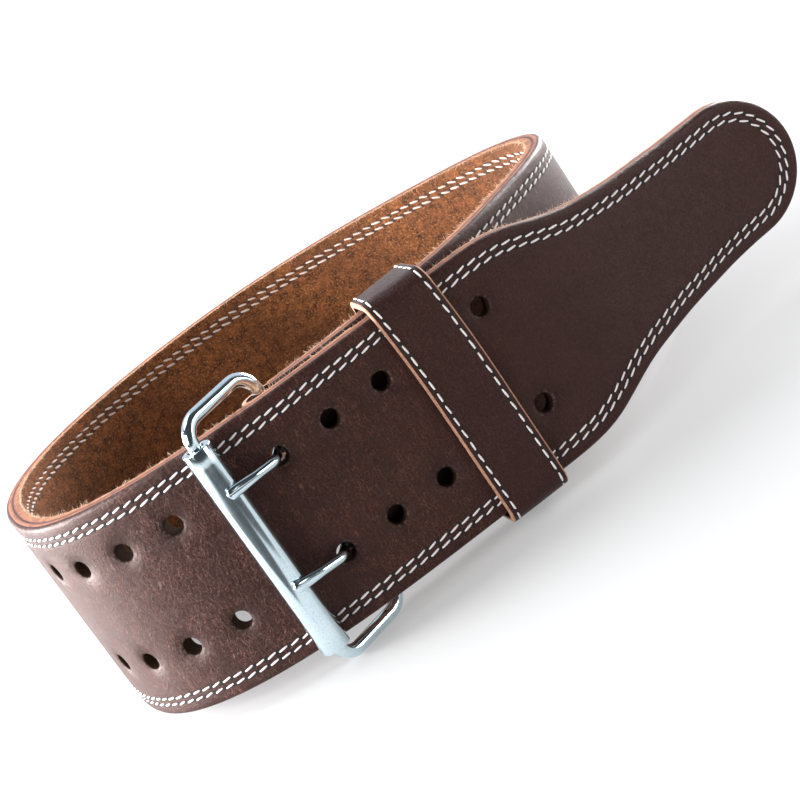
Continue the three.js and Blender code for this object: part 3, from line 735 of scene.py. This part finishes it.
def keeper_section(grow):
    """Loop of (back, up, dx, dz) round the straps, grown outwards."""
    radius = KEEPER_CORNER + grow
    section = []

    def corner(back, up, turn):
        for angle in np.radians(np.linspace(turn, turn + 90, 11)):
            section.append((back, up, radius * math.cos(angle), radius * math.sin(angle)))

    corner(True, 1, 0)
    corner(False, 1, 90)
    shares = [1 - 2 * i / KEEPER_STEPS for i in range(1, KEEPER_STEPS)]
    section.extend((False, share, -radius, 0.0) for share in shares)
    corner(False, -1, 180)
    corner(True, -1, 270)
    section.extend((True, -share, radius, 0.0) for share in shares)
    return section


def body_behind(place):
    """Place along the strap's body that lies nearest behind a place on its tail."""
    s = np.arange(route.end, route.end + 2 * CHAPE_LEG + KEEPER_CENTRE, 1.0)
    points, _, _ = route.at(s)
    return s[np.argmin(np.linalg.norm(points - place, axis=1))]


KEEPER_BODY = body_behind(route.at(KEEPER_CENTRE)[0][0]) + KEEPER_SKEW
KEEPER_STRAIGHT = HALF_WIDTH + KEEPER_SLACK - KEEPER_CORNER


def keeper_points(across, grow):
    """Ring of the keeper at a distance across its width, grown outwards."""
    back, up, deeper, higher = (np.array(column) for column in zip(*keeper_section(grow)))
    z = up * KEEPER_STRAIGHT + higher
    shift = across - KEEPER_LEAN * (np.maximum(z, 0) / HALF_WIDTH) ** 2
    front_place, _, front_out = route.at(KEEPER_CENTRE + shift)
    body_place, _, body_out = route.at(KEEPER_BODY + shift)
    near = front_place + front_out * CLEARANCE
    far = body_place - body_out * (THICKNESS + 2 * CLEARANCE)
    line = far - near
    length = np.linalg.norm(line, axis=1)
    depth = np.where(back, length - KEEPER_CORNER, KEEPER_CORNER) + deeper
    plan = near + line / length[:, None] * depth[:, None]
    return np.column_stack([plan, z])


def make_keeper():
    """Leather loop with eased edges and a groove under each row of stitches."""
    half = KEEPER_WIDTH / 2
    inside = [(x, 0.0) for x in np.linspace(-half, half, 7)]
    edge = [(0, 0.5), (0, 1.2), (0.1, 1.8), (0.35, 2.25), (0.8, KEEPER_PLY), (2.1, KEEPER_PLY),
            (KEEPER_ROW_INSET, 2.38), (3.7, KEEPER_PLY)]
    outside = [(half - inset, grow) for inset, grow in edge] + [(5.0, 2.52), (0.0, 2.55)]
    outside += [(-x, g) for x, g in outside[-2::-1]]
    profile = inside + outside
    rings = np.stack([keeper_points(x, g) for x, g in profile], axis=1)
    middle = keeper_points(0.0, KEEPER_PLY)
    start, low = KEEPER_FLAT
    flat = [[(start + x, low + run) for x, _ in profile] for run in lengths_along(middle)]
    cut_edge = [*range(6, 11), *range(len(profile) - 5, len(profile))]
    indices = [1 if k in cut_edge else 0 for k in range(len(profile))]
    return ring_object("keeper_loop", rings, (GRAIN_PLAIN, CUT), flat, indices)


keeper_loop = make_keeper()


def make_chape():
    """Leather strip folded round the heel bar, with a leg on either side of the strap's end."""
    half = HALF_WIDTH - CHAPE_INSET
    legs = route.end + CHAPE_LEG * (1 - np.linspace(0, 1, 20))
    place, _, out = route.at(legs)
    inner = [place + out * CLEARANCE]
    outer = [place + out * (CLEARANCE + CHAPE_PLY)]
    angle = np.linspace(0, math.pi, 25)
    for radius, store in ((FOLD_RADIUS, inner), (FOLD_RADIUS + CHAPE_PLY, outer)):
        store.append(from_fastening(FOLD_U - radius * np.sin(angle), HEEL_DEPTH - radius * np.cos(angle)))
    under = THICKNESS + CLEARANCE
    inner.append((place - out * under)[::-1])
    outer.append((place - out * (under + CHAPE_PLY))[::-1])
    inner, outer = np.concatenate(inner), np.concatenate(outer)
    heights = [(-half, 0.0), (-half, 0.5), (-half + 0.1, 0.85), (-half + 0.5, 1.0)]
    heights += [(z, 1.0) for z in np.linspace(-half + 6, half - 6, 12)]
    heights += [(half - 0.5, 1.0), (half - 0.1, 0.85), (half, 0.5), (half, 0.0)]
    rings = [[(*(a + (b - a) * g), z) for z, g in heights] for a, b in zip(inner, outer)]
    flat = [[(CHAPE_FLAT + run, z) for z, _ in heights] for run in lengths_along(outer)]
    count = len(heights)
    indices = [1 if k in (0, 1, count - 2, count - 3) else 0 for k in range(count)]
    fold = ring_object("chape_fold", rings, (GRAIN_PLAIN, CUT), flat, indices, closed=False)
    for z in HOLE_HEIGHTS:
        cut_slot(fold, z)
    return fold


def cut_slot(fold, z):
    """Slot that lets a prong's loop turn round the heel bar."""
    half = PRONG_SPREAD / 2 + 2 * CLEARANCE
    reach = FOLD_RADIUS + 2 * CHAPE_PLY
    ends = (FOLD_U - reach, HEEL_U + CHAPE_SLOT / 2)
    corners = [from_fastening(u, HEEL_DEPTH + d) for u, d in
               ((ends[0], -reach), (ends[1], -reach), (ends[1], reach), (ends[0], reach))]
    rings = [[(*c, level) for c in corners] for level in (z - half, z + half)]
    cutter = ring_object("cutter", rings, (CUT,), closed=False)
    modifier = fold.modifiers.new("slot", "BOOLEAN")
    modifier.operation, modifier.solver = "DIFFERENCE", "EXACT"
    modifier.object = cutter
    settle(fold)
    bpy.data.objects.remove(cutter)


def settle(item):
    """Replaces the object's mesh by the result of its modifiers."""
    bpy.context.view_layer.update()
    graph = bpy.context.evaluated_depsgraph_get()
    mesh = bpy.data.meshes.new_from_object(item.evaluated_get(graph), depsgraph=graph)
    item.modifiers.clear()
    item.data = mesh


chape_fold = make_chape()


# Corners of a wire's section
WIRE_SIDES = 24


def swept(name, centres, sides, ups, radii, closed):
    """Wire of elliptic section through centres in the belt frame."""
    angle = np.linspace(0, 2 * math.pi, WIRE_SIDES, endpoint=False)
    ring = []
    for centre, side, up, (r_side, r_up) in zip(centres, sides, ups, radii):
        ring.append(centre + np.outer(np.cos(angle) * r_side, side) + np.outer(np.sin(angle) * r_up, up))
    return ring_object(name, ring, (STEEL,), closed=closed, sharp=60)


def make_frame():
    """Rounded rectangle of wire: the front bar under the roller, the heel bar and two arms."""
    across = HEEL - ROLLER
    half = np.linalg.norm(across) / 2
    middle = (ROLLER + HEEL) / 2
    direction = across / (2 * half)
    high = HALF_WIDTH + FRAME_OVERHANG
    path = []
    for sideways, upright, turn in ((1, 1, 0), (-1, 1, 90), (-1, -1, 180), (1, -1, 270)):
        for angle in np.radians(np.linspace(turn, turn + 90, 15)):
            w = sideways * (half - FRAME_CORNER) + FRAME_CORNER * math.cos(angle)
            z = upright * (high - FRAME_CORNER) + FRAME_CORNER * math.sin(angle)
            path.append((w, z, math.cos(angle), math.sin(angle)))
    centres = [(*(middle + direction * w), z + FRAME_RAISE) for w, z, _, _ in path]
    sides = [(*(direction * c), s) for _, _, c, s in path]
    ups = [(direction[1], -direction[0], 0.0)] * len(path)
    radii = [(WIRE / 2, WIRE / 2)] * len(path)
    return swept("frame_wire", np.array(centres), np.array(sides), np.array(ups), radii, True)


def make_roller():
    """Rolled tube with an open seam towards the leather and eased ends."""
    outer, bore, end = ROLLER_DIAMETER / 2, ROLLER_BORE / 2, ROLLER_LENGTH / 2
    ease, shoulder = 0.45, 0.13
    inward = math.atan2(-ROLLER_OUT[1], -ROLLER_OUT[0])
    seam = ROLLER_SEAM / ROLLER_DIAMETER
    angle = np.linspace(inward + seam, inward + 2 * math.pi - seam, 73)
    profile = [(bore, -end), (outer - ease, -end), (outer - shoulder, -end + shoulder), (outer, -end + ease)]
    profile += [(outer, z) for z in np.linspace(-end + 8, end - 8, 9)]
    profile += [(r, -z) for r, z in profile[3::-1]]
    rings = []
    for a in angle:
        c, s = math.cos(a), math.sin(a)
        rings.append([(ROLLER[0] + r * c, ROLLER[1] + r * s, z) for r, z in profile])
    return ring_object("roller_tube", rings, (STEEL,), closed=False, sharp=50)


# Prong sections: (share of its length, thickness, width)
PRONG_SECTIONS = [(0, PRONG_FLAT, PRONG_SPREAD), (0.42, PRONG_FLAT, PRONG_SPREAD),
                  (0.54, PRONG_WIRE, PRONG_WIRE), (0.78, PRONG_WIRE, PRONG_WIRE),
                  (0.9, PRONG_TIP_FLARE, PRONG_TIP_SPREAD), (1, PRONG_FLAT, PRONG_TIP_SPREAD)]
PRONG_END = 1.6


def prong_route():
    """Prong in the plane across the bars: round the heel bar, through the hole, over the roller."""
    axes = np.array([FAST_ALONG, FAST_OUT])
    bar, crown = axes @ (HEEL - FAST_PLACE), axes @ (ROLLER - FAST_PLACE)
    reach = ROLLER_DIAMETER / 2 + CLEARANCE + PRONG_FLAT / 2
    angle = np.linspace(math.radians(PRONG_GAP_ANGLE), RAKE - math.pi, 40)
    loop = bar + PRONG_LOOP * np.column_stack([np.cos(angle), np.sin(angle)])
    leg = np.array([-math.sin(RAKE), math.cos(RAKE)])
    foot = loop[-1]
    knee = foot + leg * (PRONG_KNEE - foot[1]) / leg[1]
    to_crown = crown - knee
    slope = math.atan2(to_crown[1], to_crown[0]) % (2 * math.pi)
    slope -= math.asin(reach / np.linalg.norm(to_crown))
    run = math.sqrt(np.dot(to_crown, to_crown) - reach**2) + PRONG_OVERRUN
    rise = math.atan2(leg[1], leg[0])
    setback = PRONG_BEND * math.tan((slope - rise) / 2)
    bend = knee - leg * setback
    up_leg = [foot + (bend - foot) * k / 8 for k in range(1, 8)]
    turn = np.linspace(rise, slope, 16)
    swing = np.column_stack([np.sin(turn) - math.sin(rise), math.cos(rise) - np.cos(turn)])
    corner = bend + PRONG_BEND * swing
    heading = np.array([math.cos(slope), math.sin(slope)])
    tip = [knee + heading * d for d in np.linspace(setback, run, 22)[1:]]
    return np.concatenate([loop, up_leg, corner, tip])


def make_prong(name, z, skew):
    """Prong at height z, flattened where it loops and at its tip, with a rounded end."""
    line = prong_route()
    travelled = lengths_along(line)
    shares, thicknesses, widths = zip(*PRONG_SECTIONS)
    thick = np.interp(travelled / travelled[-1], shares, thicknesses)
    wide = np.interp(travelled / travelled[-1], shares, widths)
    left = np.clip((travelled[-1] - travelled) / PRONG_END, 0, 1)
    ending = np.sqrt(np.clip(1 - (1 - left) ** 2, 0.02, 1))
    plan = from_fastening(line[:, 0], -line[:, 1])
    centres = np.column_stack([plan, z + skew * np.maximum(line[:, 0] / line[-1, 0], 0)])
    up = np.tile([0.0, 0.0, 1.0], (len(line), 1))
    sides = np.cross(unit_rows(np.gradient(centres, axis=0)), up)
    radii = list(zip(thick / 2 * ending, wide / 2 * ending))
    return swept(name, centres, sides, up, radii, False)


frame_wire = make_frame()
roller_tube = make_roller()
prong_top = make_prong("prong_top", HOLE_HEIGHTS[0], PRONG_SKEWS[0])
prong_bottom = make_prong("prong_bottom", HOLE_HEIGHTS[1], PRONG_SKEWS[1])


def repeat_group():
    """Geometry Nodes: one unit at every pitch along paths, turned to the surface."""
    group = bpy.data.node_groups.new("units_along_paths", "GeometryNodeTree")
    named = {"Geometry": "Geometry", "Unit": "Object", "Pitch": "Float", "Slant": "Float",
             "Turn Jitter": "Vector", "Size Jitter": "Float", "Seed": "Int", "Material": "Material"}
    for name, kind in named.items():
        group.interface.new_socket(name=name, in_out="INPUT", socket_type="NodeSocket" + kind)
    group.interface.new_socket(name="Geometry", in_out="OUTPUT", socket_type="NodeSocketGeometry")

    def add(kind, inputs=None, **settings):
        return add_node(group, kind, inputs, **settings)

    given = add("NodeGroupInput").outputs
    curve = add("GeometryNodeMeshToCurve", {"Mesh": given["Geometry"]})
    even = add("GeometryNodeResampleCurve", {"Curve": curve.outputs["Curve"], "Length": given["Pitch"]},
               mode="LENGTH")
    tangent = add("GeometryNodeInputTangent")
    along = add("FunctionNodeAlignRotationToVector", {"Vector": tangent.outputs[0]}, axis="X")
    out = add("GeometryNodeInputNamedAttribute", {"Name": "out"}, data_type="FLOAT_VECTOR")
    upright = add("FunctionNodeAlignRotationToVector",
                  {"Rotation": along.outputs[0], "Vector": out.outputs["Attribute"]},
                  axis="Z", pivot_axis="X")
    opposite = add("ShaderNodeVectorMath", {0: given["Turn Jitter"], "Scale": -1}, operation="SCALE")
    jitter = add("FunctionNodeRandomValue",
                 {"Min": opposite.outputs[0], "Max": given["Turn Jitter"], "Seed": given["Seed"]},
                 data_type="FLOAT_VECTOR")
    slant = add("ShaderNodeCombineXYZ", {"Z": given["Slant"]})
    turn = add("ShaderNodeVectorMath", {0: jitter.outputs[0], 1: slant.outputs[0]})
    euler = add("FunctionNodeEulerToRotation", {0: turn.outputs[0]})
    rotate = add("FunctionNodeRotateRotation",
                 {"Rotation": upright.outputs[0], "Rotate By": euler.outputs[0]}, rotation_space="LOCAL")
    smallest = add("ShaderNodeMath", {0: 1, 1: given["Size Jitter"]}, operation="SUBTRACT")
    largest = add("ShaderNodeMath", {0: 1, 1: given["Size Jitter"]}, operation="ADD")
    size = add("FunctionNodeRandomValue",
               {2: smallest.outputs[0], 3: largest.outputs[0], "Seed": given["Seed"]}, data_type="FLOAT")
    unit = add("GeometryNodeObjectInfo", {"Object": given["Unit"]})
    place = add("GeometryNodeInstanceOnPoints",
                {"Points": even.outputs["Curve"], "Instance": unit.outputs["Geometry"],
                 "Rotation": rotate.outputs[0], "Scale": size.outputs[1]})
    real = add("GeometryNodeRealizeInstances", {0: place.outputs[0]})
    coat = add("GeometryNodeSetMaterial", {"Geometry": real.outputs[0], "Material": given["Material"]})
    add("NodeGroupOutput", {0: coat.outputs[0]})
    return group


REPEAT = repeat_group()


def repeat_along(name, paths, unit, pitch, material, slant, turn, size, seed):
    """One mesh of units along paths; each path is (points, outward directions) in the belt frame."""
    points = np.concatenate([p for p, _ in paths])
    outs = np.concatenate([o for _, o in paths])
    edges, start = [], 0
    for p, _ in paths:
        edges += [(start + k, start + k + 1) for k in range(len(p) - 1)]
        start += len(p)
    mesh = bpy.data.meshes.new(name)
    mesh.from_pydata(to_row(points).tolist(), edges, [])
    mesh.attributes.new("out", "FLOAT_VECTOR", "POINT").data.foreach_set("vector", turn_to_row(outs).ravel())
    item = bpy.data.objects.new(name, mesh)
    bpy.context.scene.collection.objects.link(item)
    modifier = item.modifiers.new("repeat", "NODES")
    modifier.node_group = REPEAT
    values = {"Unit": unit, "Pitch": pitch * MM, "Slant": slant, "Turn Jitter": turn,
              "Size Jitter": size, "Seed": seed, "Material": material}
    for socket in REPEAT.interface.items_tree:
        if socket.in_out == "INPUT" and socket.name in values:
            modifier[socket.identifier] = values[socket.name]
    settle(item)
    return item


def thread_unit(name, length, width, rise, sides, steps):
    """One stitch along X: a plump twisted thread that dives into the leather at both ends."""
    dive, taper, flattening, ridge_height, twist = 0.42, 0.42, 0.36, 0.09, 5.5
    rings = []
    for x in (-1 + 2 * k / steps for k in range(steps + 1)):
        lift = rise * (1 - abs(x) ** 3.2) - dive * abs(x) ** 6
        half = width / 2 * (1 - taper * abs(x) ** 5)
        ring = []
        for angle in (2 * math.pi * j / sides for j in range(sides)):
            reach = half * (1 + ridge_height * math.cos(2 * angle - twist * x))
            ring.append((x * length / 2, reach * math.cos(angle),
                         lift + 2 * flattening * reach * math.sin(angle)))
        rings.append(ring)
    faces = ring_faces(steps + 1, sides)
    return make_object(name, np.array(rings).reshape(-1, 3), faces, sharp=80, row=False)


def pit_unit(name, length, width):
    """Flat closed lens that stands for a needle hole; where it is placed it is coated dark, as painted shade
    of the hole.
    """
    sides, rise, sink = 10, 0.04, 0.07
    ring = [(length / 2 * math.cos(a), width / 2 * math.sin(a), -sink)
            for a in np.linspace(0, 2 * math.pi, sides, endpoint=False)]
    faces = [(0, 1 + k, 1 + (k + 1) % sides) for k in range(sides)]
    faces.append(tuple(range(sides, 0, -1)))
    return make_object(name, [(0, 0, rise), *ring], faces, row=False)


def hair_unit(name):
    """Short curved fibre standing on its root."""
    length, lean, radius, thinning, sides, steps = 1.5, 0.6, 0.085, 0.8, 3, 3
    rings = []
    for t in (k / steps for k in range(steps + 1)):
        r = radius * (1 - thinning * t)
        angles = [2 * math.pi * j / sides for j in range(sides)]
        rings.append([(lean * t * t + r * math.cos(a), r * math.sin(a), length * t) for a in angles])
    faces = ring_faces(steps + 1, sides)
    return make_object(name, np.array(rings).reshape(-1, 3), faces, sharp=180, row=False)


def run_between(run, pitch, between):
    """Even samples of a run of whole pitches, or of the places half way between them."""
    margin, sample = 6.0, 2
    low, high = run[0] + margin, run[-1] - margin
    half = (high - low) / int((high - low) / pitch) / 2 if between else 0.0
    return np.linspace(low + half, high - half, int(run[-1] / sample))


def strap_row(inset, depth, facing, between=False):
    """Path round the strap at an inset from its outline: up the top edge, round the tip and back."""
    top = PLACES + INWARD * inset
    flat = np.concatenate([top, (top * [1.0, -1.0])[-2::-1]])
    run = lengths_along(flat)
    flat = pick_columns(run_between(run, STITCH_PITCH, between), run, flat)
    points = on_strap(flat[:, 0], flat[:, 1], np.full(len(flat), depth))
    _, _, out = route.at(flat[:, 0])
    outs = np.column_stack([out * facing, np.zeros(len(out))])
    return points, outs


def keeper_row(across, grow, between=False):
    """Path round the keeper, one whole turn from its upper back corner."""
    ring, beside = (np.roll(keeper_points(x, grow), -5, axis=0) for x in (across, across + 0.5))
    outs = unit_rows(np.cross(beside - ring, np.gradient(ring, axis=0)))
    if np.sum((ring - ring.mean(axis=0)) * outs) < 0:
        outs = -outs
    run = lengths_along(ring)
    wanted = run_between(run, KEEPER_PITCH, between)
    return pick_columns(wanted, run, ring), pick_columns(wanted, run, outs)


stitch = thread_unit("stitch_unit", 4.9, 0.86, 0.12, 8, 10)
stitch_back = thread_unit("stitch_unit_back", 5.2, 0.9, 0.1, 6, 8)
pit = pit_unit("pit_unit", 3.4, 1.8)
hair = hair_unit("hair_unit")

# How far the middle of a thread lies below the leather, and a needle hole above it
FRONT_SINK, BACK_SINK, KEEPER_SINK, PIT_RISE = 0.08, 0.12, 0.05, 0.02
KEEPER_ROWS = (KEEPER_ROW_INSET - KEEPER_WIDTH / 2, KEEPER_WIDTH / 2 - KEEPER_ROW_INSET)
FRAY_INSET, FRAY_SINK, FRAY_PITCH = 0.15, 0.25, 0.42
front_rows = [strap_row(inset, FRONT_SINK, 1) for inset in STITCH_INSETS]
back_rows = [strap_row(inset, THICKNESS - BACK_SINK, -1) for inset in STITCH_INSETS]
front_pits = [strap_row(inset, -PIT_RISE, 1, True) for inset in STITCH_INSETS]
back_pits = [strap_row(inset, THICKNESS + PIT_RISE, -1, True) for inset in STITCH_INSETS]
keeper_rows = [keeper_row(across, KEEPER_PLY - KEEPER_SINK) for across in KEEPER_ROWS]
keeper_pit_rows = [keeper_row(across, KEEPER_PLY + PIT_RISE, True) for across in KEEPER_ROWS]
fray_rows = [strap_row(FRAY_INSET, THICKNESS - FRAY_SINK, -1)]

# Each with its slant and the jitter of its turn in radians, the jitter of its size, and its seed
stitches_front = repeat_along("stitches_front", front_rows, stitch, STITCH_PITCH, THREAD,
                              0.2, (0.05, 0.03, 0.06), 0.05, 1)
stitches_back = repeat_along("stitches_back", back_rows, stitch_back, STITCH_PITCH, THREAD_WORN,
                             -0.24, (0.06, 0.06, 0.12), 0.1, 2)
# Dark lenses between the stitches: painted shade of the needle holes
pits = repeat_along("needle_holes", front_pits, pit, STITCH_PITCH, PIT, 0.8, (0, 0, 0.15), 0.15, 3)
pits_back = repeat_along("needle_holes_back", back_pits, pit, STITCH_PITCH, PIT_NAP,
                         -0.8, (0, 0, 0.2), 0.2, 7)
keeper_stitches = repeat_along("stitches_keeper", keeper_rows, stitch, KEEPER_PITCH, THREAD,
                               0.05, (0.05, 0.03, 0.06), 0.05, 4)
# Dark lenses between the keeper's stitches: painted shade of the needle holes
keeper_pits = repeat_along("needle_holes_keeper", keeper_pit_rows, pit, KEEPER_PITCH, PIT,
                           0.4, (0, 0, 0.15), 0.15, 5)
fray = repeat_along("suede_fray", fray_rows, hair, FRAY_PITCH, FLUFF, 0.0, (1.3, 1.3, 3.1), 0.5, 6)
for unit in (stitch, stitch_back, pit, hair):
    bpy.data.objects.remove(unit)

# The plies, the keeper, the chape and the buckle stand for the CAD's nodes; the sewing and the nap are added
for item, node, material_slot in (
    (grain_ply, "strap_grain", "grain_leather"),
    (suede_ply, "strap_suede", "suede"),
    (keeper_loop, "keeper", "grain_leather"),
    (chape_fold, "chape", "grain_leather"),
    (frame_wire, "buckle_frame", "steel"),
    (roller_tube, "roller", "steel"),
    (prong_top, "prong_upper", "steel"),
    (prong_bottom, "prong_lower", "steel"),
):
    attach(item, "root")
    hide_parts(node)
for item, material_slot in (
    (stitches_front, "grain_leather"),
    (stitches_back, "suede"),
    (pits, "grain_leather"),
    (pits_back, "suede"),
    (keeper_stitches, "grain_leather"),
    (keeper_pits, "grain_leather"),
    (fray, "suede"),
):
    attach(item, "root")


# Stage, in metres
FLOOR_HALF = 20
FLAG_LIFT = 0.002


def stage_sheet(name, corners, material):
    """Flat sheet that belongs to the stage, not to the belt."""
    mesh = bpy.data.meshes.new(name)
    mesh.from_pydata(corners, [], [tuple(range(len(corners)))])
    mesh.materials.append(material)
    sheet = bpy.data.objects.new(name, mesh)
    bpy.context.scene.collection.objects.link(sheet)
    return sheet


def make_floor():
    """Pale floor that glows more with distance, so that it ends in white."""
    t = Tree("floor")
    tone = t.noise(t.solid(), 0.004, 2)
    material = t.finish(t.mix(tone, (0.30, 0.30, 0.305), (0.32, 0.32, 0.32)), 0.8, Specular_IOR_Level=0.1)
    at = t.add("ShaderNodeTexCoord").outputs["Object"]
    away = t.add("ShaderNodeVectorMath", {0: at}, operation="LENGTH").outputs["Value"]
    t.feed("Emission Color", (1, 1, 1, 1))
    t.feed("Emission Strength", t.ramp(t.math("DIVIDE", away, 4.0), [(0.1, 0.32), (0.5, 0.95)]))
    corners = [(x * FLOOR_HALF, y * FLOOR_HALF, 0) for x, y in ((-1, -1), (1, -1), (1, 1), (-1, 1))]
    stage_sheet("floor", corners, material)


def softbox(name, place, aim, size, power):
    """Soft lamp at a place in metres, aimed at another."""
    data = bpy.data.lights.new(name, "AREA")
    data.shape = "RECTANGLE"
    data.size, data.size_y = size
    data.energy = power
    lamp = bpy.data.objects.new(name, data)
    bpy.context.scene.collection.objects.link(lamp)
    lamp.location = place
    lamp.rotation_euler = (Vector(aim) - Vector(place)).to_track_quat("-Z", "Y").to_euler()


def make_flag():
    """Black felt card on the floor in front. Only reflections show it, on the roller above all."""
    t = Tree("felt")
    tone = t.noise(t.solid(), 0.4, 3)
    material = t.finish(t.mix(tone, (0.008, 0.008, 0.009), (0.014, 0.014, 0.015)), 0.95)
    corners = [(-430, -235), (-430, -780), (300, -780), (300, -265), (70, -265), (-40, -440), (-170, -235)]
    flag = stage_sheet("flag", [(x * MM, y * MM, FLAG_LIFT) for x, y in corners], material)
    flag.visible_camera = flag.visible_shadow = flag.visible_diffuse = False


def make_sky():
    """Sky that is dark towards the camera and pale behind the belt."""
    world = bpy.data.worlds.new("studio")
    world.use_nodes = True
    sky = world.node_tree
    at = add_node(sky, "ShaderNodeTexCoord").outputs["Generated"]
    split = add_node(sky, "ShaderNodeSeparateXYZ", {0: at})
    fade = add_node(sky, "ShaderNodeValToRGB", {0: split.outputs["Y"]})
    dark, pale = fade.color_ramp.elements
    dark.position, dark.color = 0.0, (0.06, 0.062, 0.065, 1)
    pale.position, pale.color = 0.35, (0.80, 0.84, 0.92, 1)
    sky.links.new(fade.outputs[0], sky.nodes["Background"].inputs["Color"])
    bpy.context.scene.world = world


make_floor()
make_flag()
softbox("left", (-1.1, 0.32, 0.30), (-0.17, 0, 0.06), (0.9, 0.5), 72)
softbox("right", (1.0, 0.75, 0.30), (0.15, 0, 0.06), (0.8, 0.45), 42)
softbox("key", (-1.15, -0.7, 0.64), (0.02, 0.03, 0.05), (0.7, 0.6), 18)
softbox("front", (0.85, -0.6, 0.24), (0.2, -0.1, 0.06), (0.5, 0.4), 4.5)
softbox("top", (-0.5, 0.2, 1.4), (0.05, 0, 0), (1.2, 0.8), 10)
make_sky()
bpy.context.scene.view_settings.view_transform = "Standard"
